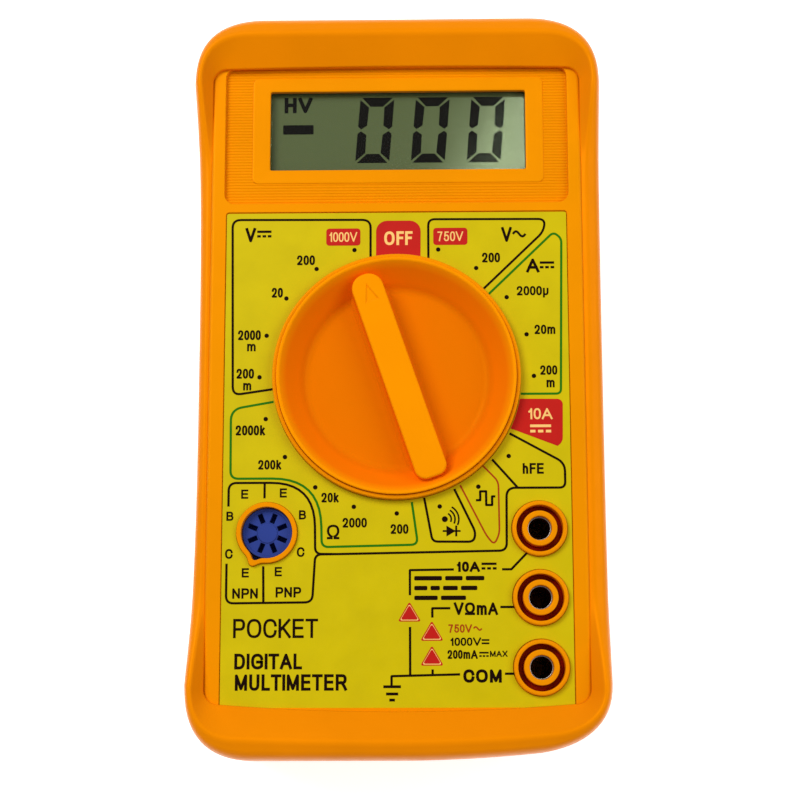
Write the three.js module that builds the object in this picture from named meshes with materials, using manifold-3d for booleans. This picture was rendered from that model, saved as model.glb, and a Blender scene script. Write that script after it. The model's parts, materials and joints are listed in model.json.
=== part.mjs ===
// Hand-held digital multimeter in a rubber holster, lying on its back.
// Millimetres. +X is to the right of the face, +Y towards the display, +Z out of the face.
// The origin is under the selector knob's axis, in the plane of the holster's back.

import * as THREE from 'three';
import { mergeVertices } from 'three/addons/utils/BufferGeometryUtils.js';
import Module from 'manifold-3d';

const wasm = await Module();
wasm.setup();

// ---------------------------------------------------------------- driving dimensions

const CASE_WIDTH = 71.2;
const CASE_LENGTH = 126;
const CASE_DEPTH = 28;
const CASE_CORNER = 5;
const CASE_WALL = 2.2;
const CASE_EDGE = 1.2;

const HOLSTER_WIDTH = 79.2;
const HOLSTER_LENGTH = 142;
const HOLSTER_HEIGHT = 35.3;
const HOLSTER_WAIST = 76.8;
const HOLSTER_FLOOR = 3;
const HOLSTER_EDGE = 2.2;
const LIP_TOP_EDGE = 60.85;
const LIP_BOTTOM_EDGE = -61.7;
const LIP_SLOPE = 6.4;
const LIP_DROP = 2.9;
const SIDE_LIP_HEIGHT = 31;
const SIDE_LIP_HALF_LENGTH = 44;

const KNOB_RADIUS = 22.5;
const KNOB_REST = THREE.MathUtils.degToRad(18);
const RANGE_COUNT = 20;

const JACK_X = 26.4;
const JACK_TOP_Y = -28.7;
const JACK_PITCH = 12.7;
const SOCKET_X = -24.1;
const SOCKET_Y = -29.3;
const SOCKET_KEY_ANGLE = THREE.MathUtils.degToRad(-115);
const DIAL_RING_RADIUS = 23.3;

// ---------------------------------------------------------------- levels and places

const BACK = HOLSTER_FLOOR + 0.3;
const FACE = BACK + CASE_DEPTH;
const SPLIT = BACK + 12;
const INNER_FLOOR = BACK + 2;
const INNER_FACE = FACE - 2;
const PCB_TOP = FACE - 6.6;
const PCB_BOTTOM = PCB_TOP - 1.6;
const LABEL_FLOOR = FACE - 0.45;
const DISPLAY_FLOOR = FACE - 1.2;
const KNOB_TOP = FACE + 2.7;
const FLANGE_TOP = INNER_FACE - 0.5;
const FLANGE_BOTTOM = FLANGE_TOP - 1.9;
const FLANGE_RADIUS = 26.3;

const LABEL_HALF_WIDTH = 32.4;
const LABEL_TOP_Y = 31.85;
const LABEL_BOTTOM_Y = -62;
const DISPLAY_X = 0.3;
const DISPLAY_Y = 48.6;
const WINDOW_WIDTH = 49.3;
const WINDOW_LENGTH = 15.8;
const DISPLAY_RECESS_WIDTH = 65.8;
const DISPLAY_RECESS_TOP_Y = 61;
const DISPLAY_RECESS_BOTTOM_Y = 33.8;
const GLASS_WIDTH = 55.2;
const GLASS_LENGTH = 21.6;
const GLASS_Y = 48;

const STAND_HALF_WIDTH = 17;
const STAND_HINGE_Y = 35;
const STAND_END_Y = -38;
const STAND_Z = 1.5;
const STAND_HALF_THICK = 0.9;

const DETENT_RADIUS = 24.5;
const BALL_RADIUS = 1.25;
const BALL_Z = INNER_FACE - 0.1 - BALL_RADIUS;
const NOTCH_RADIUS = 2;
const NOTCH_DEPTH = 0.55;

const CASE_SCREW_X = 29;
const CASE_SCREW_Y = -13;
const BUZZER_X = -14;
const BUZZER_Y = -38;
const PCB_SCREWS = [[-28.5, 27], [28.5, 27], [-5, -52]];
const JACKS = [
  ['jack_tube_10a', JACK_TOP_Y],
  ['jack_tube_vohm', JACK_TOP_Y - JACK_PITCH],
  ['jack_tube_com', JACK_TOP_Y - 2 * JACK_PITCH],
];

// ---------------------------------------------------------------- solids

/** Turns a three.js geometry into a closed solid with its faces pointing out. */
function solid(geometry) {
  const bare = geometry.index ? geometry.clone() : geometry;
  bare.deleteAttribute('normal');
  bare.deleteAttribute('uv');
  const merged = mergeVertices(bare);
  const triangles = Uint32Array.from(merged.index.array);
  const points = Float32Array.from(merged.attributes.position.array);
  if (signedVolume(points, triangles) < 0) {
    triangles.reverse();
  }
  return new wasm.Manifold(new wasm.Mesh({ numProp: 3, vertProperties: points, triVerts: triangles }));
}

/** Volume enclosed by a triangle list, negative when its faces point in. */
function signedVolume(points, triangles) {
  const corner = (index) => new THREE.Vector3().fromArray(points, 3 * triangles[index]);
  let volume = 0;
  for (let i = 0; i < triangles.length; i += 3) {
    volume += corner(i).dot(corner(i + 1).cross(corner(i + 2))) / 6;
  }
  return volume;
}

function join(first, ...others) {
  return others.reduce((sum, other) => sum.add(other), first);
}

function cut(first, ...others) {
  return others.reduce((rest, other) => rest.subtract(other), first);
}

/** Upright prism of a shape, its edges rounded by `edge` at both ends. */
function prism(shape, low, high, edge = 0, curveSegments = 2) {
  const geometry = new THREE.ExtrudeGeometry(shape, {
    depth: high - low - 2 * edge,
    curveSegments,
    bevelEnabled: edge > 0,
    bevelSize: edge,
    bevelThickness: edge,
    bevelOffset: -edge,
    bevelSegments: 2,
  });
  geometry.translate(0, 0, low + edge);
  return solid(geometry);
}

function block(x0, x1, y0, y1, z0, z1) {
  const geometry = new THREE.BoxGeometry(x1 - x0, y1 - y0, z1 - z0);
  geometry.translate((x0 + x1) / 2, (y0 + y1) / 2, (z0 + z1) / 2);
  return solid(geometry);
}

/** Upright round rod. */
function rod(radius, low, high, x = 0, y = 0, sides = 24) {
  const geometry = new THREE.CylinderGeometry(radius, radius, high - low, sides);
  geometry.rotateX(Math.PI / 2);
  geometry.translate(x, y, (low + high) / 2);
  return solid(geometry);
}

/** Round rod that lies along X. */
function rodAlongX(radius, x0, x1, y, z, sides = 16) {
  const geometry = new THREE.CylinderGeometry(radius, radius, x1 - x0, sides);
  geometry.rotateZ(Math.PI / 2);
  geometry.translate((x0 + x1) / 2, y, z);
  return solid(geometry);
}

/** Solid of revolution about an upright axis; the profile is a list of [radius, height]. */
function turned(profile, x = 0, y = 0, sides = 24) {
  const points = profile.map(([radius, height]) => new THREE.Vector2(radius, height));
  const geometry = new THREE.LatheGeometry(points, sides);
  geometry.rotateX(Math.PI / 2);
  geometry.translate(x, y, 0);
  return solid(geometry);
}

/** Upright tube with a square-cut wall. */
function sleeve(inner, outer, low, high, x = 0, y = 0, sides = 24) {
  return turned([[inner, low], [outer, low], [outer, high], [inner, high], [inner, low]], x, y, sides);
}

/** Round wire along a smooth curve through the given points. */
function wire(points, radius, steps, sides = 6) {
  const path = new THREE.CatmullRomCurve3(points.map((point) => new THREE.Vector3(...point)));
  const section = new THREE.Shape();
  section.absarc(0, 0, radius, 0, 2 * Math.PI);
  return solid(new THREE.ExtrudeGeometry(section, {
    steps,
    curveSegments: sides / 2,
    extrudePath: path,
    bevelEnabled: false,
  }));
}

function roundedRect(width, length, radius, cx = 0, cy = 0) {
  const x = width / 2 - radius;
  const y = length / 2 - radius;
  const shape = new THREE.Shape();
  shape.absarc(cx + x, cy + y, radius, 0, Math.PI / 2);
  shape.absarc(cx - x, cy + y, radius, Math.PI / 2, Math.PI);
  shape.absarc(cx - x, cy - y, radius, Math.PI, 1.5 * Math.PI);
  shape.absarc(cx + x, cy - y, radius, 1.5 * Math.PI, 2 * Math.PI);
  return shape;
}

function circle(radius, x, y) {
  const path = new THREE.Path();
  path.absarc(x, y, radius, 0, 2 * Math.PI);
  return path;
}

/** Thin strip of even thickness that follows a smooth curve, as a flat outline. */
function stripOutline(points, thickness, divisions) {
  const curve = new THREE.SplineCurve(points.map(([x, y]) => new THREE.Vector2(x, y)));
  const upper = [];
  const lower = [];
  for (let i = 0; i <= divisions; i += 1) {
    const point = curve.getPoint(i / divisions);
    const along = curve.getTangent(i / divisions);
    const across = new THREE.Vector2(-along.y, along.x).multiplyScalar(thickness / 2);
    upper.push(point.clone().add(across));
    lower.push(point.clone().sub(across));
  }
  return new THREE.Shape([...upper, ...lower.reverse()]);
}

// ---------------------------------------------------------------- scene graph

const meter = new THREE.Group();

const PLASTIC_ORANGE = { color: 0xef9708, roughness: 0.45 };
const RUBBER_ORANGE = { color: 0xf09c0a, roughness: 0.55 };
const LABEL_YELLOW = { color: 0xd8c414, roughness: 0.5 };
const CLEAR = { color: 0xdfe8e0, roughness: 0.05, transparent: true, opacity: 0.3 };
const LCD_GREEN = { color: 0x7d8a5c, roughness: 0.2 };
const WHITE_PLASTIC = { color: 0xe4e2da, roughness: 0.5 };
const BLACK_RUBBER = { color: 0x161616, roughness: 0.8 };
const BOARD_TAN = { color: 0xb08a4a, roughness: 0.5 };
const STEEL = { color: 0xb9bcc0, roughness: 0.35, metalness: 1 };
const BRASS = { color: 0xc8a24a, roughness: 0.35, metalness: 1 };
const COPPER = { color: 0xb8703a, roughness: 0.35, metalness: 1 };
const BLUE_PLASTIC = { color: 0x2c46aa, roughness: 0.4 };
const RED_PLASTIC = { color: 0xb81c1c, roughness: 0.5 };
const GREEN_COATING = { color: 0x2a7a3c, roughness: 0.5 };
const TAN_COATING = { color: 0xc9a878, roughness: 0.5 };
const GLASS = { color: 0xe6eeee, roughness: 0.05, transparent: true, opacity: 0.4 };
const CERAMIC = { color: 0xe9e4d2, roughness: 0.4 };

/** Adds one named piece to the group, at a place and turned about Z. */
function add(name, manifold, look, place = [0, 0, 0], turn = 0) {
  const { vertProperties, triVerts } = manifold.getMesh();
  const geometry = new THREE.BufferGeometry();
  geometry.setAttribute('position', new THREE.BufferAttribute(Float32Array.from(vertProperties), 3));
  geometry.setIndex(new THREE.BufferAttribute(Uint32Array.from(triVerts), 1));
  geometry.computeVertexNormals();
  const mesh = new THREE.Mesh(geometry, new THREE.MeshStandardMaterial(look));
  mesh.name = name;
  mesh.position.set(...place);
  mesh.rotation.z = turn;
  meter.add(mesh);
  return mesh;
}

// ---------------------------------------------------------------- holster and its stand

/** Waisted outline of the holster: straight ends, bulged corners, slim sides. */
function holsterOutline() {
  const side = HOLSTER_WIDTH / 2;
  const waist = HOLSTER_WAIST / 2;
  const end = HOLSTER_LENGTH / 2;
  const half = new THREE.Path();
  half.moveTo(0, -end);
  half.lineTo(27, -end);
  half.bezierCurveTo(35, -end, side, -67, side, -58.5);
  half.splineThru([
    new THREE.Vector2(waist + 0.35, -38),
    new THREE.Vector2(waist, 4),
    new THREE.Vector2(waist + 0.2, 34),
    new THREE.Vector2(side, 59),
  ]);
  half.bezierCurveTo(side, 67, 36, end, 28, end);
  half.lineTo(0, end);
  const right = half.getPoints(4);
  const left = right.slice(1, -1).reverse().map((point) => new THREE.Vector2(-point.x, point.y));
  return new THREE.Shape([...right, ...left]);
}

/** Block above the side walls, with sloped ends: it leaves them lower than the end lips. */
function sideRelief() {
  const rise = HOLSTER_HEIGHT + 1 - SIDE_LIP_HEIGHT;
  const low = SIDE_LIP_HALF_LENGTH;
  const high = SIDE_LIP_HALF_LENGTH + 2 * rise;
  const outline = new THREE.Shape([
    new THREE.Vector2(SIDE_LIP_HEIGHT, -low),
    new THREE.Vector2(SIDE_LIP_HEIGHT + rise, -high),
    new THREE.Vector2(SIDE_LIP_HEIGHT + rise, high),
    new THREE.Vector2(SIDE_LIP_HEIGHT, low),
  ]);
  const geometry = new THREE.ExtrudeGeometry(outline, { depth: 2 * HOLSTER_WIDTH, bevelEnabled: false });
  geometry.translate(0, 0, -HOLSTER_WIDTH);
  geometry.rotateY(-Math.PI / 2);
  return solid(geometry);
}

/** Wedge that slopes an end lip down from its ridge to its inner edge. */
function lipSlope(innerEdge, direction) {
  const angle = Math.atan2(LIP_DROP, LIP_SLOPE);
  const length = 30;
  const geometry = new THREE.BoxGeometry(CASE_WIDTH - 1, length, 10);
  geometry.translate(0, direction * (length / 2 - 0.5), 5);
  geometry.rotateX(direction * angle);
  geometry.translate(0, innerEdge, HOLSTER_HEIGHT - LIP_DROP);
  return solid(geometry);
}

function holster() {
  const clearance = 0.4;
  const pocket = roundedRect(CASE_WIDTH + 2 * clearance, CASE_LENGTH + 2 * clearance, CASE_CORNER);
  const mouthLength = LIP_TOP_EDGE - LIP_BOTTOM_EDGE;
  const mouthMiddle = (LIP_TOP_EDGE + LIP_BOTTOM_EDGE) / 2;
  const mouth = roundedRect(CASE_WIDTH + 2 * clearance, mouthLength, 2.7, 0, mouthMiddle);
  const standWell = block(
    -STAND_HALF_WIDTH - 0.4,
    STAND_HALF_WIDTH + 0.4,
    STAND_END_Y - 0.6,
    STAND_HINGE_Y + STAND_HALF_THICK + 0.4,
    -1,
    HOLSTER_FLOOR + 1,
  );
  return cut(
    prism(holsterOutline(), 0, HOLSTER_HEIGHT, HOLSTER_EDGE),
    prism(pocket, HOLSTER_FLOOR, FACE + 0.3),
    prism(mouth, FACE - 1, HOLSTER_HEIGHT + 1),
    sideRelief(),
    lipSlope(LIP_TOP_EDGE, 1),
    lipSlope(LIP_BOTTOM_EDGE, -1),
    standWell,
    rodAlongX(0.9, -19.8, 19.8, STAND_HINGE_Y, STAND_Z),
  );
}

/** Fold-out stand: a flat plate with a nail notch and two hinge stubs. */
function tiltStand() {
  const plate = block(
    -STAND_HALF_WIDTH,
    STAND_HALF_WIDTH,
    STAND_END_Y,
    STAND_HINGE_Y,
    STAND_Z - STAND_HALF_THICK,
    STAND_Z + STAND_HALF_THICK,
  );
  const hingeRoll = rodAlongX(
    STAND_HALF_THICK, -STAND_HALF_WIDTH, STAND_HALF_WIDTH, STAND_HINGE_Y, STAND_Z);
  const stubs = rodAlongX(0.8, -19.4, 19.4, STAND_HINGE_Y, STAND_Z);
  const nailNotch = rod(8, -1, HOLSTER_FLOOR + 1, 0, STAND_END_Y - 5.8, 32);
  return cut(join(plate, hingeRoll, stubs), nailNotch);
}

add('holster', holster(), RUBBER_ORANGE);
add('tilt_stand', tiltStand(), RUBBER_ORANGE);

// ---------------------------------------------------------------- case shells

/** Post of the front case around a jack: an outer rim and an inner sleeve, with a groove between. */
function jackCollar(y) {
  const foot = PCB_TOP + 0.4;
  return turned([
    [2.3, foot],
    [5.1, foot],
    [5.1, FACE + 0.8],
    [4.8, FACE + 1.1],
    [4.35, FACE + 1.1],
    [4.35, foot + 1.2],
    [3.25, foot + 1.2],
    [3.25, FACE + 1.1],
    [2.3, FACE + 1.1],
    [2.3, foot],
  ], JACK_X, y, 24);
}

/** Twenty grooves under the face that the detent balls drop into, one for each range. */
function detentNotches() {
  const notches = [];
  for (let i = 0; i < RANGE_COUNT; i += 1) {
    const geometry = new THREE.CylinderGeometry(NOTCH_RADIUS, NOTCH_RADIUS, 5.2, 10);
    geometry.rotateZ(Math.PI / 2);
    geometry.translate(DETENT_RADIUS + 0.2, 0, INNER_FACE + NOTCH_DEPTH - NOTCH_RADIUS);
    geometry.rotateZ((i / RANGE_COUNT) * 2 * Math.PI + Math.PI / 2);
    notches.push(solid(geometry));
  }
  return notches;
}

/** Outline of the transistor socket's hole: a circle with a small keying bulge. */
function socketHole(low, high, radius, keyRadius) {
  const keyX = SOCKET_X + 5 * Math.cos(SOCKET_KEY_ANGLE);
  const keyY = SOCKET_Y + 5 * Math.sin(SOCKET_KEY_ANGLE);
  return join(
    rod(radius, low, high, SOCKET_X, SOCKET_Y, 28),
    rod(keyRadius, low, high, keyX, keyY, 12),
  );
}

function frontCase() {
  const shell = prism(roundedRect(CASE_WIDTH, CASE_LENGTH, CASE_CORNER), SPLIT - 4, FACE, CASE_EDGE);
  const inside = roundedRect(CASE_WIDTH - 2 * CASE_WALL, CASE_LENGTH - 2 * CASE_WALL, 3);
  const displayRecess = roundedRect(
    DISPLAY_RECESS_WIDTH,
    DISPLAY_RECESS_TOP_Y - DISPLAY_RECESS_BOTTOM_Y,
    2,
    0,
    (DISPLAY_RECESS_TOP_Y + DISPLAY_RECESS_BOTTOM_Y) / 2,
  );
  const displayFrame = roundedRect(WINDOW_WIDTH + 6.8, WINDOW_LENGTH + 5.4, 1.2, DISPLAY_X, DISPLAY_Y);
  const window = roundedRect(WINDOW_WIDTH, WINDOW_LENGTH, 0.4, DISPLAY_X, DISPLAY_Y);
  const labelMiddle = (LABEL_TOP_Y + LABEL_BOTTOM_Y) / 2;
  const labelRecess = roundedRect(
    2 * LABEL_HALF_WIDTH + 0.4, LABEL_TOP_Y - LABEL_BOTTOM_Y + 0.4, 0.6, 0, labelMiddle);
  const body = cut(
    shell,
    block(-50, 50, -80, 80, 0, SPLIT + 0.15),
    prism(inside, 0, INNER_FACE),
    prism(displayRecess, DISPLAY_FLOOR, FACE + 1),
    prism(labelRecess, LABEL_FLOOR, FACE + 1),
  );
  const postTop = INNER_FACE + 0.2;
  const posts = PCB_SCREWS.map(([x, y]) => sleeve(1, 2.5, PCB_TOP + 0.1, postTop, x, y, 20));
  for (const x of [-CASE_SCREW_X, CASE_SCREW_X]) {
    posts.push(sleeve(1.4, 2.8, SPLIT + 0.15, postTop, x, CASE_SCREW_Y, 20));
  }
  const whole = join(
    body,
    prism(displayFrame, DISPLAY_FLOOR - 0.1, DISPLAY_FLOOR + 0.3),
    sleeve(KNOB_RADIUS + 0.1, DIAL_RING_RADIUS, INNER_FACE, FACE + 0.6, 0, 0, 40),
    socketHole(INNER_FACE - 0.8, FACE + 0.6, 5.7, 1.7),
    ...posts,
    ...JACKS.map(([, y]) => rod(5, INNER_FACE - 1, FACE, JACK_X, y, 24)),
  );
  const bored = cut(
    whole,
    rod(KNOB_RADIUS + 0.2, INNER_FACE - 1, FACE + 3, 0, 0, 40),
    prism(window, INNER_FACE - 1, FACE + 1),
    socketHole(INNER_FACE - 2, FACE + 2, 4.85, 1),
    ...JACKS.map(([, y]) => rod(4.6, INNER_FACE - 2, FACE + 2, JACK_X, y, 24)),
    ...detentNotches(),
  );
  return join(bored, ...JACKS.map(([, y]) => jackCollar(y)));
}

function rearCase() {
  const shell = prism(roundedRect(CASE_WIDTH, CASE_LENGTH, CASE_CORNER), BACK, SPLIT + 6, 2);
  const inside = roundedRect(CASE_WIDTH - 2 * CASE_WALL, CASE_LENGTH - 2 * CASE_WALL, 3);
  const top = SPLIT - 0.15;
  const screws = [-CASE_SCREW_X, CASE_SCREW_X];
  const body = join(
    cut(shell, block(-50, 50, -80, 80, top, 60), prism(inside, INNER_FLOOR, 60)),
    block(-28, 30, 29.1, 30.4, INNER_FLOOR - 0.5, top - 0.3),
    block(-28.6, -27.2, 29, 61.5, INNER_FLOOR - 0.5, top - 0.4),
    sleeve(8.2, 9.8, INNER_FLOOR - 0.5, INNER_FLOOR + 0.3, BUZZER_X, BUZZER_Y, 32),
    ...screws.map((x) => rod(4.3, INNER_FLOOR - 0.5, top - 0.2, x, CASE_SCREW_Y)),
  );
  return cut(
    body,
    ...screws.map((x) => rod(1.5, BACK - 1, top + 1, x, CASE_SCREW_Y)),
    ...screws.map((x) => rod(2.9, BACK - 1, BACK + 5.2, x, CASE_SCREW_Y)),
  );
}

/** Cross-head screw that points up: the head's recess faces down. */
function screw(headRadius, headHeight, shankRadius, length) {
  const outline = turned([
    [0, 0],
    [headRadius * 0.8, 0],
    [headRadius, headHeight * 0.4],
    [headRadius, headHeight],
    [shankRadius, headHeight],
    [shankRadius, length - shankRadius],
    [0, length],
  ], 0, 0, 16);
  const arm = headRadius * 0.6;
  const depth = headHeight * 0.5;
  return cut(
    outline,
    block(-arm, arm, -0.25, 0.25, -1, depth),
    block(-0.25, 0.25, -arm, arm, -1, depth),
  );
}

add('front_case', frontCase(), PLASTIC_ORANGE);
add('rear_case', rearCase(), PLASTIC_ORANGE);
for (const [index, x] of [-CASE_SCREW_X, CASE_SCREW_X].entries()) {
  add(`case_screw_${index + 1}`, screw(2.5, 2, 1.2, 18), STEEL, [x, CASE_SCREW_Y, BACK + 3.1]);
}

// ---------------------------------------------------------------- face label

function faceLabel() {
  const length = LABEL_TOP_Y - LABEL_BOTTOM_Y;
  const middle = (LABEL_TOP_Y + LABEL_BOTTOM_Y) / 2;
  const outline = roundedRect(2 * LABEL_HALF_WIDTH, length, 0.4, 0, middle);
  return cut(
    prism(outline, LABEL_FLOOR + 0.05, FACE - 0.05),
    rod(DIAL_RING_RADIUS + 0.15, FACE - 3, FACE + 3, 0, 0, 40),
    socketHole(FACE - 3, FACE + 3, 5.85, 1.85),
    ...JACKS.map(([, y]) => rod(5.25, FACE - 3, FACE + 3, JACK_X, y, 24)),
  );
}

add('face_label', faceLabel(), LABEL_YELLOW);

// ---------------------------------------------------------------- display

function displayFrame() {
  const outer = roundedRect(GLASS_WIDTH + 4.8, GLASS_LENGTH + 3.2, 1, DISPLAY_X, GLASS_Y);
  const inner = roundedRect(GLASS_WIDTH + 0.6, GLASS_LENGTH + 0.6, 0.3, DISPLAY_X, GLASS_Y);
  return cut(prism(outer, PCB_TOP + 0.1, INNER_FACE - 0.1), prism(inner, 0, FACE));
}

const glassOutline = roundedRect(GLASS_WIDTH, GLASS_LENGTH, 0.2, DISPLAY_X, GLASS_Y);
const windowPlate = roundedRect(GLASS_WIDTH - 0.6, GLASS_LENGTH - 0.6, 0.5, DISPLAY_X, GLASS_Y);
const stripLow = GLASS_Y - GLASS_LENGTH / 2 + 0.3;
const stripReach = GLASS_WIDTH / 2 - 0.6;
add('lcd_window', prism(windowPlate, INNER_FACE - 0.9, INNER_FACE - 0.1), CLEAR);
add('lcd_glass', prism(glassOutline, PCB_TOP + 1.3, INNER_FACE - 1.1), LCD_GREEN);
add('lcd_frame', displayFrame(), WHITE_PLASTIC);
add('zebra_strip', block(
  DISPLAY_X - stripReach,
  DISPLAY_X + stripReach,
  stripLow,
  stripLow + 2.2,
  PCB_TOP + 0.05,
  PCB_TOP + 1.2,
), BLACK_RUBBER);

// ---------------------------------------------------------------- circuit board

function circuitBoard() {
  const outline = roundedRect(64.4, 120, 2);
  outline.holes.push(circle(3.25, 0, 0));
  outline.holes.push(...JACKS.map(([, y]) => circle(2.4, JACK_X, y)));
  outline.holes.push(...PCB_SCREWS.map(([x, y]) => circle(1.3, x, y)));
  return cut(
    prism(outline, PCB_BOTTOM, PCB_TOP, 0, 8),
    rod(3.3, PCB_BOTTOM - 1, PCB_TOP + 1, -CASE_SCREW_X, CASE_SCREW_Y),
    rod(3.3, PCB_BOTTOM - 1, PCB_TOP + 1, CASE_SCREW_X, CASE_SCREW_Y),
  );
}

add('pcb', circuitBoard(), BOARD_TAN);
for (const [index, [x, y]] of PCB_SCREWS.entries()) {
  add(`pcb_screw_${index + 1}`, screw(2.2, 1.4, 0.85, 6), STEEL, [x, y, PCB_BOTTOM - 1.45]);
}

// ---------------------------------------------------------------- selector knob and its detent

/** Stadium outline of the pointer bar across the knob's dish. */
function barOutline() {
  return roundedRect(6.2, 41.4, 3.05);
}

/** Hollow boss under the flange, around one detent ball and its spring. */
function ballPocket(x) {
  const foot = PCB_TOP + 0.3;
  return { boss: rod(2.2, foot, FLANGE_BOTTOM + 0.5, x), bore: rod(1.4, foot + 0.35, FLANGE_TOP + 1, x) };
}

function selectorKnob() {
  const dish = FACE - 2.8;
  const dial = turned([
    [0, PCB_BOTTOM - 1.3],
    [3, PCB_BOTTOM - 1.3],
    [3, PCB_TOP + 0.5],
    [5, PCB_TOP + 0.5],
    [5, FLANGE_BOTTOM],
    [FLANGE_RADIUS, FLANGE_BOTTOM],
    [FLANGE_RADIUS, FLANGE_TOP],
    [KNOB_RADIUS, FLANGE_TOP],
    [KNOB_RADIUS, KNOB_TOP - 0.4],
    [KNOB_RADIUS - 0.4, KNOB_TOP],
    [KNOB_RADIUS - 1, KNOB_TOP],
    [17.3, dish],
    [0, dish],
  ], 0, 0, 40);
  const reach = KNOB_RADIUS - 0.6;
  const bar = prism(barOutline(), dish - 0.5, KNOB_TOP, 0.5, 4).intersect(rod(reach, 0, 60, 0, 0, 40));
  const arrow = new THREE.Shape();
  arrow.moveTo(-1.1, 15.4);
  arrow.lineTo(1.1, 15.4);
  arrow.lineTo(0, 18.4);
  arrow.closePath();
  const pockets = [ballPocket(DETENT_RADIUS), ballPocket(-DETENT_RADIUS)];
  const whole = join(dial, bar, ...pockets.map((pocket) => pocket.boss));
  return cut(
    whole,
    ...pockets.map((pocket) => pocket.bore),
    prism(arrow, KNOB_TOP - 0.25, KNOB_TOP + 1),
  );
}

/** Point on the knob at a radius and an angle from its pointer bar, as the knob stands at rest. */
function onKnob(radius, angle) {
  const total = KNOB_REST + angle;
  return [radius * Math.cos(total), radius * Math.sin(total)];
}

/** Springy contact that hangs under the knob and slides on the board's tracks. */
function wiperContact() {
  const profile = stripOutline([
    [-3.4, FLANGE_BOTTOM - 0.25],
    [-2.2, FLANGE_BOTTOM - 0.3],
    [0.4, PCB_TOP + 0.9],
    [2.2, PCB_TOP + 0.3],
    [3.4, PCB_TOP + 0.8],
  ], 0.25, 12);
  const geometry = new THREE.ExtrudeGeometry(profile, { depth: 1.8, bevelEnabled: false });
  geometry.translate(0, 0, -0.9);
  geometry.rotateX(Math.PI / 2);
  return solid(geometry);
}

/** Small compression spring under a detent ball. */
function detentSpring() {
  const turns = 2.5;
  const low = PCB_TOP + 0.9;
  const high = BALL_Z - BALL_RADIUS - 0.2;
  const points = [];
  for (let i = 0; i <= 20; i += 1) {
    const angle = (i / 20) * turns * 2 * Math.PI;
    points.push([0.95 * Math.cos(angle), 0.95 * Math.sin(angle), low + ((high - low) * i) / 20]);
  }
  return wire(points, 0.15, 20, 4);
}

add('selector_knob', selectorKnob(), PLASTIC_ORANGE, [0, 0, 0], KNOB_REST);
const WIPER_RADII = [10, 14, 18];
for (let i = 0; i < 2 * WIPER_RADII.length; i += 1) {
  const side = i < WIPER_RADII.length ? 0 : Math.PI;
  const angle = side + Math.PI / 3;
  const [x, y] = onKnob(WIPER_RADII[i % WIPER_RADII.length], angle);
  add(`wiper_contact_${i + 1}`, wiperContact(), BRASS, [x, y, 0], KNOB_REST + angle + Math.PI / 2);
}
for (const [index, side] of [0, Math.PI].entries()) {
  const [x, y] = onKnob(DETENT_RADIUS, side);
  const ball = solid(new THREE.SphereGeometry(BALL_RADIUS, 12, 8));
  add(`detent_ball_${index + 1}`, ball, STEEL, [x, y, BALL_Z]);
  add(`detent_spring_${index + 1}`, detentSpring(), STEEL, [x, y, 0]);
}

// ---------------------------------------------------------------- sockets

/** Plated tube that a test plug goes into, with a shoulder soldered under the board. */
function jackTube() {
  const foot = PCB_BOTTOM - 13;
  return turned([
    [2.02, foot],
    [2.2, foot],
    [2.2, PCB_BOTTOM - 1.2],
    [3.3, PCB_BOTTOM - 1.2],
    [3.3, PCB_BOTTOM - 0.1],
    [2.2, PCB_BOTTOM - 0.1],
    [2.2, FACE],
    [2.02, FACE],
    [2.02, foot],
  ], 0, 0, 20);
}

for (const [name, y] of JACKS) {
  add(name, jackTube(), STEEL, [JACK_X, y, 0]);
}

/** Round transistor socket with eight contact slots around its face. */
function transistorSocket() {
  const faceLevel = FACE - 0.9;
  const body = turned([
    [0, PCB_TOP + 0.1],
    [6.4, PCB_TOP + 0.1],
    [6.4, INNER_FACE - 1.1],
    [4.65, INNER_FACE - 1.1],
    [4.65, faceLevel - 0.4],
    [4.25, faceLevel],
    [0, faceLevel],
  ], 0, 0, 28);
  const slots = [];
  for (let i = 0; i < 8; i += 1) {
    const geometry = new THREE.BoxGeometry(1.8, 0.9, 4);
    geometry.translate(2.9, 0, faceLevel - 1);
    geometry.rotateZ(((i + 0.5) / 8) * 2 * Math.PI);
    slots.push(solid(geometry));
  }
  return cut(body, ...slots);
}

add('hfe_socket', transistorSocket(), BLUE_PLASTIC, [SOCKET_X, SOCKET_Y, 0]);

// ---------------------------------------------------------------- battery

const BATTERY = {
  x0: -26.4,
  x1: 22,
  y0: 31.4,
  y1: 57.9,
  z0: INNER_FLOOR + 0.15,
  z1: PCB_BOTTOM - 0.25,
};
const BATTERY_MIDDLE_Y = (BATTERY.y0 + BATTERY.y1) / 2;
const BATTERY_MIDDLE_Z = (BATTERY.z0 + BATTERY.z1) / 2;
const TERMINAL_OFFSET = 6.35;

function battery() {
  const length = BATTERY.x1 - BATTERY.x0;
  const width = BATTERY.y1 - BATTERY.y0;
  const height = BATTERY.z1 - BATTERY.z0;
  const geometry = new THREE.ExtrudeGeometry(roundedRect(height, width, 2), {
    depth: length,
    curveSegments: 4,
    bevelEnabled: false,
  });
  geometry.rotateY(Math.PI / 2);
  geometry.translate(BATTERY.x0, BATTERY_MIDDLE_Y, BATTERY_MIDDLE_Z);
  const low = BATTERY.x1 - 0.5;
  const high = BATTERY.x1 + 2.6;
  return join(
    solid(geometry),
    rodAlongX(2.8, low, high, BATTERY_MIDDLE_Y - TERMINAL_OFFSET, BATTERY_MIDDLE_Z, 20),
    rodAlongX(3.9, low, high, BATTERY_MIDDLE_Y + TERMINAL_OFFSET, BATTERY_MIDDLE_Z, 20),
  );
}

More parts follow.
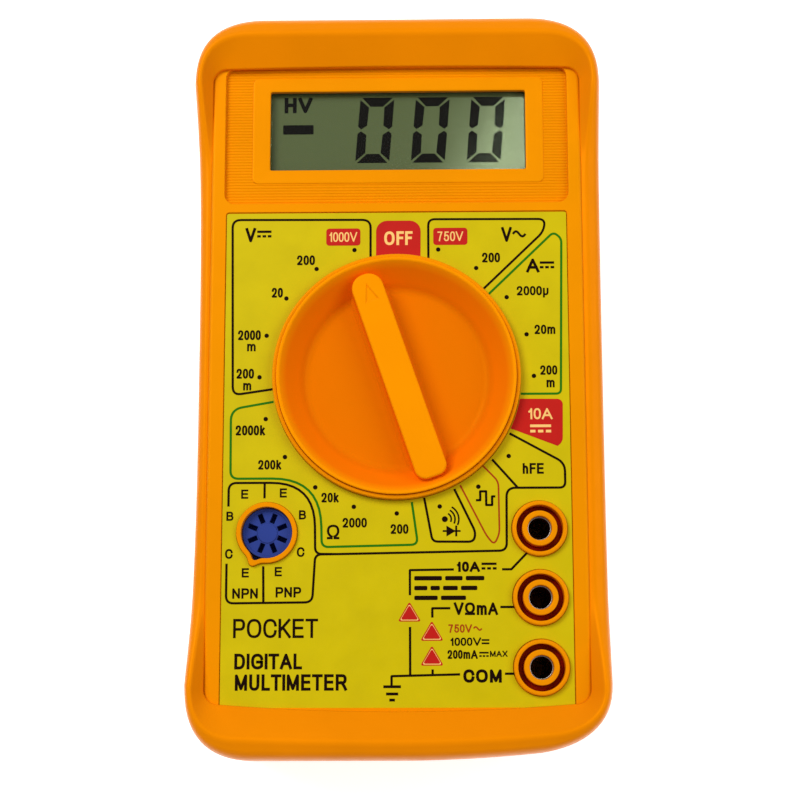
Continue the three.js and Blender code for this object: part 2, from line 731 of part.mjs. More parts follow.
function batterySnap() {
  const low = BATTERY.x1 + 0.3;
  const capHalfLength = 12.5;
  const capHalfHeight = 6;
  return cut(
    block(
      low,
      low + 4.2,
      BATTERY_MIDDLE_Y - capHalfLength,
      BATTERY_MIDDLE_Y + capHalfLength,
      BATTERY_MIDDLE_Z - capHalfHeight,
      BATTERY_MIDDLE_Z + capHalfHeight,
    ),
    rodAlongX(3.2, low - 1, low + 2.7, BATTERY_MIDDLE_Y - TERMINAL_OFFSET, BATTERY_MIDDLE_Z, 20),
    rodAlongX(4.3, low - 1, low + 2.7, BATTERY_MIDDLE_Y + TERMINAL_OFFSET, BATTERY_MIDDLE_Z, 20),
  );
}

/** Lead from the battery snap along the case wall and up to the board. */
function batteryLead(drop) {
  const start = BATTERY.x1 + 4.9;
  const level = BATTERY_MIDDLE_Z - drop;
  return wire([
    [start, BATTERY_MIDDLE_Y - 4, level],
    [start + 1.6, BATTERY_MIDDLE_Y - 7, level + 1],
    [start + 1.2, BATTERY_MIDDLE_Y - 12, level + 4],
    [start - 2.5, BATTERY_MIDDLE_Y - 15, level + 5],
    [start - 5 - drop, BATTERY_MIDDLE_Y - 18.5, PCB_BOTTOM - 1.8],
    [start - 6 - drop, BATTERY_MIDDLE_Y - 20, PCB_BOTTOM - 0.4],
  ], 0.6, 12, 6);
}

add('battery', battery(), { color: 0x2a2d33, roughness: 0.4 });
add('battery_snap', batterySnap(), BLACK_RUBBER);
add('battery_lead_red', batteryLead(-1), RED_PLASTIC);
add('battery_lead_black', batteryLead(2), BLACK_RUBBER);

// ---------------------------------------------------------------- fuse

const FUSE_Y = -22;
const FUSE_X0 = -4;
const FUSE_LENGTH = 20;
const FUSE_Z = PCB_BOTTOM - 4.2;
const FUSE_CAP_LENGTH = 4.8;

function alongX(manifold) {
  return manifold.rotate([0, 90, 0]);
}

const fuseTube = alongX(
  sleeve(1.9, 2.35, FUSE_CAP_LENGTH / 2, FUSE_LENGTH - FUSE_CAP_LENGTH / 2, 0, 0, 20));
add('fuse_tube', fuseTube, GLASS, [FUSE_X0, FUSE_Y, FUSE_Z]);

/** Metal end cap of the fuse, open towards the glass. */
function fuseCap() {
  return alongX(turned([
    [0, 0],
    [2.6, 0],
    [2.6, FUSE_CAP_LENGTH],
    [2.45, FUSE_CAP_LENGTH],
    [2.45, 0.3],
    [0, 0.3],
  ], 0, 0, 20));
}

/** Spring clip that grips a fuse cap and stands under the board. */
function fuseClip() {
  const grip = stripOutline([
    [-2.4, -3.2],
    [-3.05, -1.4],
    [-3.1, 0.4],
    [-2.9, 2],
    [-1.6, 3.4],
    [1.6, 3.4],
    [2.9, 2],
    [3.1, 0.4],
    [3.05, -1.4],
    [2.4, -3.2],
  ], 0.35, 18);
  const geometry = new THREE.ExtrudeGeometry(grip, { depth: 3.6, bevelEnabled: false });
  geometry.rotateX(Math.PI / 2);
  geometry.rotateZ(Math.PI / 2);
  return solid(geometry);
}

for (const [index, end] of [0, 1].entries()) {
  const x = FUSE_X0 + end * FUSE_LENGTH;
  const cap = add(`fuse_cap_${index + 1}`, fuseCap(), STEEL, [x, FUSE_Y, FUSE_Z]);
  cap.rotation.z = end * Math.PI;
  const clipX = x + (end === 0 ? 0.6 : -4.2);
  add(`fuse_clip_${index + 1}`, fuseClip(), BRASS, [clipX, FUSE_Y, FUSE_Z]);
}

// ---------------------------------------------------------------- buzzer

/** Thin insulated lead between the buzzer and the board. */
function buzzerLead(x, y) {
  return wire([
    [x, y, INNER_FLOOR + 1.6],
    [x + 2, y + 0.5, INNER_FLOOR + 4],
    [x + 5, y + 1.5, INNER_FLOOR + 8],
    [x + 6, y + 1, INNER_FLOOR + 13],
    [x + 5, y, PCB_BOTTOM - 0.4],
  ], 0.45, 12, 6);
}

add('buzzer_plate', rod(10, INNER_FLOOR + 0.4, INNER_FLOOR + 0.65, BUZZER_X, BUZZER_Y, 32), BRASS);
add('buzzer_ceramic', rod(7, INNER_FLOOR + 0.75, INNER_FLOOR + 1, BUZZER_X, BUZZER_Y, 28), CERAMIC);
add('buzzer_lead_red', buzzerLead(BUZZER_X + 3, BUZZER_Y + 2), RED_PLASTIC);
add('buzzer_lead_black', buzzerLead(BUZZER_X + 2, BUZZER_Y - 4), BLACK_RUBBER);

// ---------------------------------------------------------------- components under the board

add('chip_blob', turned([
  [0, PCB_BOTTOM - 1.4],
  [3.5, PCB_BOTTOM - 1.25],
  [5.4, PCB_BOTTOM - 0.7],
  [6.2, PCB_BOTTOM - 0.1],
  [0, PCB_BOTTOM - 0.1],
], -14, 8), BLACK_RUBBER);

add('shunt_wire', wire([
  [17.5, -33, PCB_BOTTOM - 0.2],
  [17.5, -33, PCB_BOTTOM - 3],
  [17.5, -35.5, PCB_BOTTOM - 5.5],
  [17.5, -41, PCB_BOTTOM - 6.2],
  [17.5, -46.5, PCB_BOTTOM - 5.5],
  [17.5, -49, PCB_BOTTOM - 3],
  [17.5, -49, PCB_BOTTOM - 0.2],
], 0.8, 20, 8), COPPER);

const TRIMMER_PLACE = [4, -42, PCB_BOTTOM - 3.6];
const TRIMMER_HALF = 3.4;
const trimmerCup = cut(
  block(-TRIMMER_HALF, TRIMMER_HALF, -TRIMMER_HALF, TRIMMER_HALF, 0, 3.5),
  rod(2.7, -1, 1.3),
);
const trimmerRotor = cut(rod(2.5, -0.3, 1.1), block(-2, 2, -0.35, 0.35, -1, 0.2));
add('trimmer_body', trimmerCup, { color: 0x2b5aa8, roughness: 0.5 }, TRIMMER_PLACE);
add('trimmer_rotor', trimmerRotor, WHITE_PLASTIC, TRIMMER_PLACE);

const CAPACITORS = [[-20, -12, 0.3], [10, 12, -0.2], [-8, 22, 1.4]];
for (const [index, [x, y, turn]] of CAPACITORS.entries()) {
  const coated = prism(roundedRect(7.2, 3, 1.4), -6.5, 0, 0.8);
  add(`film_capacitor_${index + 1}`, coated, GREEN_COATING, [x, y, PCB_BOTTOM - 0.2], turn);
}

/** Axial resistor under the board, with its two leads bent up to it. */
function resistor() {
  const height = -1.6;
  const body = alongX(turned([
    [0, -5],
    [0.3, -5],
    [0.3, -3],
    [1, -2.8],
    [1.2, -2.2],
    [1, -1.6],
    [1, 1.6],
    [1.2, 2.2],
    [1, 2.8],
    [0.3, 3],
    [0.3, 5],
    [0, 5],
  ], 0, 0, 10)).translate([0, 0, height]);
  return join(body, rod(0.3, height, 0, -4.7, 0, 8), rod(0.3, height, 0, 4.7, 0, 8));
}

const RESISTORS = [[6, -8, 0], [6, -12, 0], [6, -16, 0], [-22, -2, Math.PI / 2]];
for (const [index, [x, y, turn]] of RESISTORS.entries()) {
  add(`resistor_${index + 1}`, resistor(), TAN_COATING, [x, y, PCB_BOTTOM - 0.2], turn);
}

export default meter;
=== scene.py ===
"""Digital multimeter in a rubber holster: meshes, materials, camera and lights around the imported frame.

Lengths in the tables and in the mesh code are millimetres in the row frame; a mesh is scaled to metres
when it is made. X is to the right of the face, Y towards the display, Z out of the face.
"""

import json
import math

import bmesh
import bpy
from mathutils import Matrix, Vector
from mathutils.geometry import tessellate_polygon


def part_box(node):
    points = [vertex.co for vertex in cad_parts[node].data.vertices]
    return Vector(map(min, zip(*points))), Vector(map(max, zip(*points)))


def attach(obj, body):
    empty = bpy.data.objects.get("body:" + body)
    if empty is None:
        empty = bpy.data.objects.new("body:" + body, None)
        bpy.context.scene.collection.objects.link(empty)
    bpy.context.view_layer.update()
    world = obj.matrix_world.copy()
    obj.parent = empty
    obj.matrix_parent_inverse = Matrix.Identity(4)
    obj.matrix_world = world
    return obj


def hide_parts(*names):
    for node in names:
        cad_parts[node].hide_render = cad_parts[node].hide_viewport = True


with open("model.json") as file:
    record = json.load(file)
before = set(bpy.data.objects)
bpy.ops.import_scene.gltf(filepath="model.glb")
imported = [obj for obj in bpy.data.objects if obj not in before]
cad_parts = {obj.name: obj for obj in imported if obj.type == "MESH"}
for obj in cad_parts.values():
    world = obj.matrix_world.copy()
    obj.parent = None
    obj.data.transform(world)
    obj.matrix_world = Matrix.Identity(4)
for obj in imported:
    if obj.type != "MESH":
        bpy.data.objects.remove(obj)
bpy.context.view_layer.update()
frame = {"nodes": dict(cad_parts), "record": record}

MM = 0.001


# ---------- places read from the frame


def low(node):
    """Lowest corner of a CAD node, in millimetres."""
    return [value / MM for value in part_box(node)[0]]


def high(node):
    """Highest corner of a CAD node, in millimetres."""
    return [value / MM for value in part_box(node)[1]]


def middle(node):
    """Middle of a CAD node's box in X and Y, in millimetres."""
    return [(a + b) / 2 for a, b in zip(low(node)[:2], high(node)[:2])]


LABEL_TOP = high("face_label")[2]
FACE = LABEL_TOP + 0.05
INNER_FACE = FACE - 2
LABEL_FLOOR = FACE - 0.45
DISPLAY_FLOOR = FACE - 1.2
SPLIT = low("front_case")[2]
CASE_HALF_WIDTH = high("front_case")[0]
CASE_HALF_LENGTH = high("front_case")[1]
CASE_CORNER = 5
CASE_WALL = 2.2
GLASS_TOP = high("lcd_glass")[2]
BOARD_TOP = high("pcb")[2]
BOARD_BOTTOM = low("pcb")[2]

HOLSTER_HALF_LENGTH = high("holster")[1]
HOLSTER_TOP = high("holster")[2]
HOLSTER_FLOOR = 3
LEFT_WAIST = 37.8
RIGHT_WAIST = 39.2
SIDE_LIP_TOP = FACE - 0.2
SHOULDER = 57
UPPER_END_GAP = 0.4

KNOB_RADIUS = 22.5
KNOB_TOP = high("selector_knob")[2]
KNOB_DISH = FACE - 2.8
KNOB_FOOT = low("selector_knob")[2]
FLANGE_TOP = FACE - 2.5
FLANGE_BOTTOM = FACE - 4.4
FLANGE_RADIUS = 26.3
BAR_TURN = math.radians(19)
DIAL_STOPS = 20
DIAL_STEP = 2 * math.pi / DIAL_STOPS
DIAL_DOT_RADIUS = 25.8
DETENT_RADIUS = 24.5
RING_RADIUS = 23.3
LABEL_HOLE_RADIUS = 23.4

JACK_TUBES = ("jack_tube_10a", "jack_tube_vohm", "jack_tube_com")
JACKS = [middle(name) for name in JACK_TUBES]
JACK_RADIUS = 5.1
TUBE_FOOT = low("jack_tube_com")[2]
TUBE_TOP = FACE - 0.6
SOCKET = middle("hfe_socket")
SOCKET_KEY = math.radians(245)
DISPLAY_X = middle("lcd_glass")[0]
DISPLAY_Y = 48.6

# Rounded oblongs, each as width, length, corner radius, centre X, centre Y.
DISPLAY_RECESS = (65.8, 27.2, 2, 0, 47.4)
LABEL_RECESS = (65.1, 93.3, 0.6, 0, -14.6)
LABEL_SHEET = (64.8, 93.85, 0.4, 0, -15.08)
WINDOW_WIDTH, WINDOW_LENGTH = 49.3, 15.8
FRAME_WIDTH, FRAME_LENGTH = WINDOW_WIDTH + 6.8, WINDOW_LENGTH + 5.4
WINDOW = (WINDOW_WIDTH, WINDOW_LENGTH, 0.4, DISPLAY_X, DISPLAY_Y)
WINDOW_FRAME = (FRAME_WIDTH, FRAME_LENGTH, 1.2, DISPLAY_X, DISPLAY_Y)
STAND_WELL = (34.8, 75.1, 0.8, 0, -1.15)

# Strips of ridges around the window's frame, from edge to edge of the display's recess.
RIDGE_REACH = 32.95
RIDGE_LOW, RIDGE_HIGH = 33.8, 61

# ---------- materials


def linear(red, green, blue):
    """Scene-linear colour from the 0 to 255 values seen on a screen."""
    def channel(value):
        value /= 255
        return value / 12.92 if value <= 0.04045 else ((value + 0.055) / 1.055) ** 2.4
    return (channel(red), channel(green), channel(blue), 1)


def shade(colour, factor):
    """A colour made lighter or darker by a factor."""
    return tuple(min(1, channel * factor) for channel in colour[:3]) + (1,)


class Graph:
    """Short way to wire up one material's nodes."""

    def __init__(self, name):
        self.material = bpy.data.materials.new(name)
        self.material.use_nodes = True
        self.tree = self.material.node_tree
        self.shader = self.tree.nodes["Principled BSDF"]
        self.place = self.tree.nodes.new("ShaderNodeTexCoord").outputs["Object"]

    def set(self, **values):
        """Sets inputs of the shader, with _ for the spaces in their names."""
        for key, value in values.items():
            self.shader.inputs[key.replace("_", " ")].default_value = value

    def node(self, kind, **values):
        made = self.tree.nodes.new(kind)
        for key, value in values.items():
            setattr(made, key, value)
        return made

    def link(self, output, target):
        self.tree.links.new(output, target)

    def drive(self, key, output):
        """Feeds a node's output into an input of the shader."""
        self.link(output, self.shader.inputs[key])

    def noise(self, size, detail=2.0, roughness=0.5):
        """Noise whose features are about `size` millimetres across."""
        made = self.node("ShaderNodeTexNoise")
        made.inputs["Scale"].default_value = 1 / (size * MM)
        made.inputs["Detail"].default_value = detail
        made.inputs["Roughness"].default_value = roughness
        self.link(self.place, made.inputs["Vector"])
        return made.outputs["Fac"]

    def ramp(self, value, low_end, high_end, low_out, high_out):
        """Maps a value from one range to another, held at the ends."""
        made = self.node("ShaderNodeMapRange")
        for key, number in zip(("From Min", "From Max", "To Min", "To Max"),
                               (low_end, high_end, low_out, high_out)):
            made.inputs[key].default_value = number
        self.link(value, made.inputs["Value"])
        return made.outputs["Result"]

    def mix(self, factor, first, second):
        """Mix of two colours, each given as a value or as another node's output."""
        made = self.node("ShaderNodeMix", data_type="RGBA")
        self.link(factor, made.inputs["Factor"])
        for socket, colour in ((made.inputs["A"], first), (made.inputs["B"], second)):
            if isinstance(colour, tuple):
                socket.default_value = colour
            else:
                self.link(colour, socket)
        return made.outputs["Result"]

    def paint_recess_shade(self, colour, painted_shades):
        """Paints shade into recesses: blends a colour towards darker ones below given heights.

        Each row of painted shade is (its colour below a height, that height, the height above which it is
        gone).
        """
        for shade_colour, low_level, high_level in painted_shades:
            height = self.node("ShaderNodeSeparateXYZ")
            self.link(self.place, height.inputs["Vector"])
            level = self.ramp(height.outputs["Z"], low_level * MM, high_level * MM, 0, 1)
            colour = self.mix(level, shade_colour, colour)
        return colour

    def vary_colour(self, noise, colour, first, second, painted_shades=(), span=(0.3, 0.7)):
        """Base colour between two shades of a colour, as the noise says, with shade painted into recesses
        where rows of it are given.
        """
        tint = self.mix(self.ramp(noise, *span, 0, 1), shade(colour, first), shade(colour, second))
        self.drive("Base Color", self.paint_recess_shade(tint, painted_shades))

    def vary_gloss(self, noise, low_end, high_end):
        """Roughness between two values, as the noise says."""
        self.drive("Roughness", self.ramp(noise, 0.3, 0.7, low_end, high_end))

    def bump(self, height, depth, below=None):
        """Bump of a depth in millimetres from a height map, on top of another bump."""
        made = self.node("ShaderNodeBump")
        made.inputs["Strength"].default_value = 1
        made.inputs["Distance"].default_value = depth * MM
        self.link(height, made.inputs["Height"])
        if below is not None:
            self.link(below, made.inputs["Normal"])
        return made.outputs["Normal"]


def moulded(graph, colour, roughness, grain=0.25, grain_depth=0.006, mottle=0.08, gloss=0.3, painted_shades=()):
    """Moulded plastic or rubber: fine surface grain, slow colour and gloss variation, and painted shade in
    recesses where given.
    """
    graph.vary_colour(graph.noise(14, 3), colour, 1 - mottle, 1 + mottle, painted_shades)
    graph.vary_gloss(graph.noise(3, 4), roughness - 0.06, roughness + 0.07)
    wavy = graph.bump(graph.noise(9, 1), 0.03)
    graph.drive("Normal", graph.bump(graph.noise(grain, 2), grain_depth, wavy))
    graph.set(Specular_IOR_Level=gloss, Specular_Tint=colour)


def printed(graph, colour, roughness=0.42, gloss=0.2):
    """Screen-printed film or ink: faint ink density change and a slight orange-peel."""
    graph.vary_colour(graph.noise(6, 4), colour, 0.95, 1.04)
    graph.vary_gloss(graph.noise(2, 3), roughness - 0.04, roughness + 0.05)
    graph.drive("Normal", graph.bump(graph.noise(0.5, 2), 0.004))
    graph.set(Specular_IOR_Level=gloss)


def metal(graph, colour, roughness=0.28, painted_shades=()):
    """Plated or rolled metal: small stains and uneven gloss, and painted shade in recesses where given."""
    graph.vary_colour(graph.noise(2.5, 5), colour, 1.03, 0.8, painted_shades, (0.35, 0.75))
    graph.vary_gloss(graph.noise(0.8, 3), roughness - 0.08, roughness + 0.12)
    graph.drive("Normal", graph.bump(graph.noise(0.3, 2), 0.003))
    graph.set(Metallic=1)


def clear(graph, colour, alpha, roughness):
    """Thin clear plate: see-through as its alpha says, with a slightly uneven gloss."""
    graph.vary_gloss(graph.noise(5, 3), roughness, roughness + 0.05)
    graph.set(Base_Color=colour, Alpha=alpha, IOR=1.49)


def lcd_back(graph, colour):
    """Grey-green reflective back of a display under polarised glass."""
    graph.vary_colour(graph.noise(0.25, 2), colour, 0.96, 1.04)
    graph.set(Roughness=0.55, Specular_IOR_Level=0.1, Coat_Weight=1.0, Coat_Roughness=0.12, Coat_IOR=1.55)


def glowing_paper(graph, colour):
    """Matt paper that glows a little, so that it stays white."""
    graph.set(Base_Color=colour, Roughness=0.9, Specular_IOR_Level=0.1, Emission_Color=(1, 1, 1, 1),
              Emission_Strength=0.72)


def material(name, kind, *look):
    """Material made by one of the kinds above."""
    graph = Graph(name)
    kind(graph, *look)
    return graph.material


CASE_FINISH = (linear(240, 144, 2), 0.34, 0.22, 0.004, 0.03, 0.6)
LOOKS = {
    # The record's material slots.
    "holster_rubber": (moulded, linear(242, 137, 2), 0.34, 0.3, 0.006, 0.03, 0.6),
    "case_plastic": (moulded, *CASE_FINISH),
    # Knob plastic with painted shade in its dish: darker and redder down the wall, and darker again on the
    # floor.
    "knob_plastic": (moulded, linear(254, 149, 1), 0.4, 0.22, 0.005, 0.03, 0.3,
                     ((linear(246, 122, 1), KNOB_TOP - 1.6, KNOB_TOP - 0.2),
                      (linear(228, 116, 1), KNOB_DISH + 0.1, KNOB_DISH + 1.6))),
    "label_print": (printed, linear(208, 186, 4), 0.4, 0.06),
    "clear_window": (clear, (0.02, 0.02, 0.02, 1), 0.06, 0.05),
    "lcd": (lcd_back, linear(90, 103, 58)),
    "white_plastic": (moulded, linear(225, 222, 212), 0.5),
    "black_rubber": (moulded, linear(24, 22, 22), 0.6),
    "board": (printed, linear(176, 138, 74), 0.45),
    "steel": (metal, linear(200, 200, 204)),
    "brass": (metal, linear(206, 168, 92)),
    "copper": (metal, linear(190, 120, 70)),
    "socket_blue": (moulded, linear(50, 68, 146), 0.35, 0.2, 0.004, 0.08),
    "fuse_glass": (clear, (0.9, 0.95, 0.95, 1), 0.35, 0.03),
    "battery_jacket": (printed, linear(40, 44, 52), 0.3),
    "red_insulation": (moulded, linear(186, 30, 26), 0.5),
    "ceramic": (printed, linear(228, 222, 204), 0.4),
    "black_epoxy": (moulded, linear(18, 18, 18), 0.25),
    "trimmer_blue": (moulded, linear(44, 92, 168), 0.45),
    "green_coating": (moulded, linear(34, 120, 60), 0.3),
    "tan_coating": (moulded, linear(200, 166, 118), 0.35),
    # The plug sockets' plastic and metal, with painted shade deep inside: dark red in the plastic's groove
    # and bore, darker and redder down the metal tube.
    "jack_plastic": (moulded, *CASE_FINISH, ((linear(170, 12, 8), FACE - 2.6, FACE - 1.55),)),
    "socket_tube_metal": (metal, linear(190, 186, 182), 0.3,
                          ((linear(150, 70, 60), TUBE_TOP - 0.35, TUBE_TOP - 0.1),)),
    # Inks, and the studio floor.
    "ink_black": (printed, linear(26, 8, 4), 0.5, 0.03),
    "ink_red": (printed, linear(194, 28, 22), 0.4, 0.08),
    "ink_green": (printed, linear(38, 114, 12), 0.45, 0.05),
    "ink_brown": (printed, linear(168, 60, 14), 0.45, 0.05),
    "ink_cream": (printed, linear(250, 200, 118), 0.45, 0.1),
    "ink_segment": (printed, linear(14, 12, 8), 0.5, 0.05),
    "floor_paper": (glowing_paper, (0.86, 0.86, 0.86, 1)),
}
MATERIALS = {name: material(name, *look) for name, look in LOOKS.items()}

# ---------- camera, floor and lights

CAMERA_PLACE = Vector((6.2, -57.5, LABEL_TOP + 314.8)) * MM
CAMERA_FORWARD = Vector((-0.0174, 0.1661, -0.9860))
CAMERA_UP = Vector((0.0050, 0.9861, 0.1660))
CAMERA_LENS = 76.6


def look(forward, up):
    """Rotation that turns an object's -Z to forward and its Y to up."""
    back = -forward.normalized()
    right = up.cross(back).normalized()
    return Matrix((right, back.cross(right), back)).transposed().to_4x4()


def add_object(name, data):
    """Object of a mesh, camera or light, linked into the scene."""
    made = bpy.data.objects.new(name, data)
    bpy.context.collection.objects.link(made)
    return made


def add_camera():
    data = bpy.data.cameras.new("camera")
    data.lens = CAMERA_LENS
    data.sensor_width = 36
    data.clip_start = 0.01
    camera = add_object("camera", data)
    camera.matrix_world = Matrix.Translation(CAMERA_PLACE) @ look(CAMERA_FORWARD, CAMERA_UP)
    bpy.context.scene.camera = camera


def add_softbox(name, place, target, size, power, up=(0, 1, 0.2), colour=(1, 1, 1)):
    """Rectangular studio light; place, target and size are in millimetres."""
    data = bpy.data.lights.new(name, "AREA")
    data.shape = "RECTANGLE"
    data.size = size[0] * MM
    data.size_y = size[1] * MM
    data.energy = power
    data.color = colour
    light = add_object(name, data)
    forward = Vector(target) - Vector(place)
    light.matrix_world = Matrix.Translation(Vector(place) * MM) @ look(forward, Vector(up))


def add_floor():
    """White paper just under the object."""
    mesh = bpy.data.meshes.new("floor")
    reach = 3
    mesh.from_pydata([(-reach, -reach, 0), (reach, -reach, 0), (reach, reach, 0), (-reach, reach, 0)],
                     [], [(0, 1, 2, 3)])
    floor = add_object("floor", mesh)
    floor.location.z = -0.0002
    mesh.materials.append(MATERIALS["floor_paper"])


def add_world():
    world = bpy.data.worlds.new("studio")
    world.use_nodes = True
    background = world.node_tree.nodes["Background"]
    background.inputs["Color"].default_value = (1, 1, 1, 1)
    background.inputs["Strength"].default_value = 0.3
    bpy.context.scene.world = world


add_camera()
add_floor()
add_world()
add_softbox("key", (-390, 310, 720), (0, 0, 20), (420, 420), 4.4)
add_softbox("fill", (560, 60, 640), (0, 0, 20), (500, 500), 2.2)
add_softbox("display_reflection", (68, 221, 600), (68, 221, 0), (72, 110), 0.23,
            up=(0.47, 0.88, 0), colour=(0.8, 1, 0.62))
bpy.context.scene.view_settings.view_transform = "Standard"

# ---------- outlines and meshes


def arc(cx, cy, radius, start, end, steps):
    """Points on an arc, both ends included; angles in degrees."""
    angles = [math.radians(start + (end - start) * i / steps) for i in range(steps + 1)]
    return [(cx + radius * math.cos(angle), cy + radius * math.sin(angle)) for angle in angles]


def rounded_rect(width, length, radius, cx=0.0, cy=0.0, steps=8):
    x = width / 2 - radius
    y = length / 2 - radius
    points = []
    for quarter, (side, end) in enumerate(((1, 1), (-1, 1), (-1, -1), (1, -1))):
        points += arc(cx + side * x, cy + end * y, radius, 90 * quarter, 90 * quarter + 90, steps)
    return points


def circle(radius, cx=0.0, cy=0.0, sides=64):
    return arc(cx, cy, radius, 0, 360 * (sides - 1) / sides, sides - 1)


def keyed_circle(radius, bump, sides=96):
    """The transistor socket's outline: a circle with a small rounded key."""
    points = []
    for i in range(sides):
        angle = 2 * math.pi * i / sides
        away = math.remainder(angle - SOCKET_KEY, 2 * math.pi) / math.radians(10)
        reach = radius + bump * math.exp(-away * away)
        points.append((SOCKET[0] + reach * math.cos(angle), SOCKET[1] + reach * math.sin(angle)))
    return points


def grown(outline, distance):
    """A counter-clockwise closed outline, moved outwards by a distance (inwards where negative)."""
    moved = []
    for i, here in enumerate(outline):
        before = Vector(outline[i - 1])
        after = Vector(outline[(i + 1) % len(outline)])
        here = Vector(here)
        first = (here - before).normalized()
        second = (after - here).normalized()
        side = Vector((first.y + second.y, -first.x - second.x)).normalized()
        lean = max(0.5, side.dot(Vector((first.y, -first.x))))
        moved.append(tuple(here + side * (distance / lean)))
    return moved


def soften(points, cuts, steps=4, support=0.08, limit=0.49):
    """A polyline with each inner corner replaced by a curve that starts `cut` away from it."""
    points = [Vector(point) for point in points]
    smooth = [points[0]]
    for i in range(1, len(points) - 1):
        corner, cut = points[i], cuts[i - 1]
        if cut <= 0:
            smooth.append(corner)
            continue
        back = points[i - 1] - corner
        ahead = points[i + 1] - corner
        start = corner + back.normalized() * min(cut, back.length * limit)
        end = corner + ahead.normalized() * min(cut, ahead.length * limit)
        smooth.append(start + (start - corner).normalized() * min(support, back.length * 0.01))
        for step in range(steps + 1):
            u = step / steps
            smooth.append(start * (1 - u) ** 2 + corner * (2 * u * (1 - u)) + end * u ** 2)
        smooth.append(end + (end - corner).normalized() * min(support, ahead.length * 0.01))
    smooth.append(points[-1])
    return smooth


class Skin:
    """Vertices and faces of one mesh, built from rings of points, in millimetres."""

    def __init__(self):
        self.points = []
        self.faces = []

    def ring(self, outline, z=None):
        """Adds a ring of points, flat at z unless they already have a height."""
        start = len(self.points)
        self.points += [tuple(point) if z is None else (point[0], point[1], z) for point in outline]
        return list(range(start, len(self.points)))

    def bridge(self, first, second, closed=True):
        """Faces between two rings, or between two open rows, of as many points."""
        count = len(first)
        for i in range(count if closed else count - 1):
            j = (i + 1) % count
            corners = dict.fromkeys((first[i], first[j], second[j], second[i]))
            if len(corners) > 2:
                self.faces.append(tuple(corners))

    def loft(self, rings):
        """Bridges each ring to the next."""
        for first, second in zip(rings, rings[1:]):
            self.bridge(first, second)
        return rings

    def fill(self, outer, holes=()):
        """Flat face between a ring and the rings of its holes."""
        loops = [outer, *holes]
        flat = [[Vector((*self.points[i][:2], 0)) for i in loop] for loop in loops]
        names = [i for loop in loops for i in loop]
        self.faces += [tuple(names[i] for i in triangle) for triangle in tessellate_polygon(flat)]

    def sweep(self, outline, profile, cuts=(), steps=4, support=0.08):
        """Rings of an outline, each grown and raised as the profile's (growth, z) says.

        Corners of the profile that have a cut are rounded, as soften does.
        """
        return self.loft([self.ring(grown(outline, growth) if growth else outline, z)
                          for growth, z in (soften(profile, cuts, steps, support) if cuts else profile)])

    def lathe(self, profile, cuts=(), cx=0.0, cy=0.0, sides=64, steps=4):
        """Turned surface of a profile of (radius, z), its corners rounded in the same way."""
        rings = []
        for radius, z in soften(profile, cuts, steps) if cuts else profile:
            if radius < 1e-6:
                rings.append(self.ring([(cx, cy)], z) * sides)
            else:
                rings.append(self.ring(circle(radius, cx, cy, sides), z))
        return self.loft(rings)

    def add(self, other):
        """Takes in the points and faces of another skin."""
        start = len(self.points)
        self.points += other.points
        self.faces += [tuple(start + i for i in face) for face in other.faces]

    def turn(self, angle):
        """Turns everything so far about the Z axis."""
        cosine, sine = math.cos(angle), math.sin(angle)
        self.points = [(x * cosine - y * sine, x * sine + y * cosine, z) for x, y, z in self.points]


def piece(name, skin, look, stands_for=(), body="meter", sharp=32):
    """Makes a skin into an object that rides a body and stands for CAD nodes.

    It takes the material of its look. Edges that bend by more than `sharp` degrees stay sharp.
    """
    mesh = bpy.data.meshes.new(name)
    mesh.from_pydata([Vector(point) * MM for point in skin.points], [], skin.faces)
    work = bmesh.new()
    work.from_mesh(mesh)
    bmesh.ops.remove_doubles(work, verts=work.verts, dist=1e-7)
    bmesh.ops.dissolve_degenerate(work, edges=work.edges, dist=1e-8)
    bmesh.ops.recalc_face_normals(work, faces=work.faces)
    work.to_mesh(mesh)
    work.free()
    mesh.polygons.foreach_set("use_smooth", [True] * len(mesh.polygons))
    mesh.set_sharp_from_angle(angle=math.radians(sharp))
    mesh.materials.append(MATERIALS[look])
    made = add_object(name, mesh)
    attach(made, body)
    if stands_for:
        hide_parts(*stands_for)


# ---------- holster

# The outer outline, the mouth and the pocket have as many points in each of their stretches.
MOUTH_HALF_WIDTH = CASE_HALF_WIDTH - 0.25
MOUTH_TOP = 60.85
MOUTH_BOTTOM = -61.95
MOUTH_CORNER = 2.7
END_STEPS = 12
CORNER_STEPS = 16
SIDE_STEPS = 48


def bezier(a, b, c, d, steps):
    """Points on a cubic curve from a to d, without a itself."""
    points = []
    for i in range(1, steps + 1):
        u = i / steps
        v = 1 - u
        points.append(tuple(v ** 3 * p + 3 * v * v * u * q + 3 * v * u * u * r + u ** 3 * s
                            for p, q, r, s in zip(a, b, c, d)))
    return points


def holster_side(waist, low_half, high_half, rise=0):
    """Right half of the outer outline, from the middle of the lower end to that of the upper end.

    Its side is bowed as far as SHOULDER. The lower end bends up towards the corner by `rise`.
    """
    low_end, high_end = -HOLSTER_HALF_LENGTH, HOLSTER_HALF_LENGTH - UPPER_END_GAP
    low_reach, high_reach, bend = 26, 25, 34.5
    side = [(low_reach * i / END_STEPS, low_end + rise * (i / END_STEPS) ** 2)
            for i in range(END_STEPS + 1)]
    side += bezier((low_reach, low_end + rise), (bend - rise, low_end + 1.7 * rise),
                   (low_half + rise / 8, -66.5 + rise), (low_half, -SHOULDER), CORNER_STEPS)
    for i in range(1, SIDE_STEPS + 1):
        y = -SHOULDER + 2 * SHOULDER * i / SIDE_STEPS
        end = low_half if y < 0 else high_half
        side.append((waist + (end - waist) * min(1, abs(y) / SHOULDER) ** 3, y))
    side += bezier((high_half, SHOULDER), (high_half, 66), (bend, high_end), (high_reach, high_end),
                   CORNER_STEPS)
    side += [(high_reach * (1 - i / END_STEPS), high_end) for i in range(1, END_STEPS + 1)]
    return side


def closed_outline(right, left):
    """Closed outline from two right halves, the second of them mirrored."""
    return right + [(-x, y) for x, y in reversed(left[1:-1])]


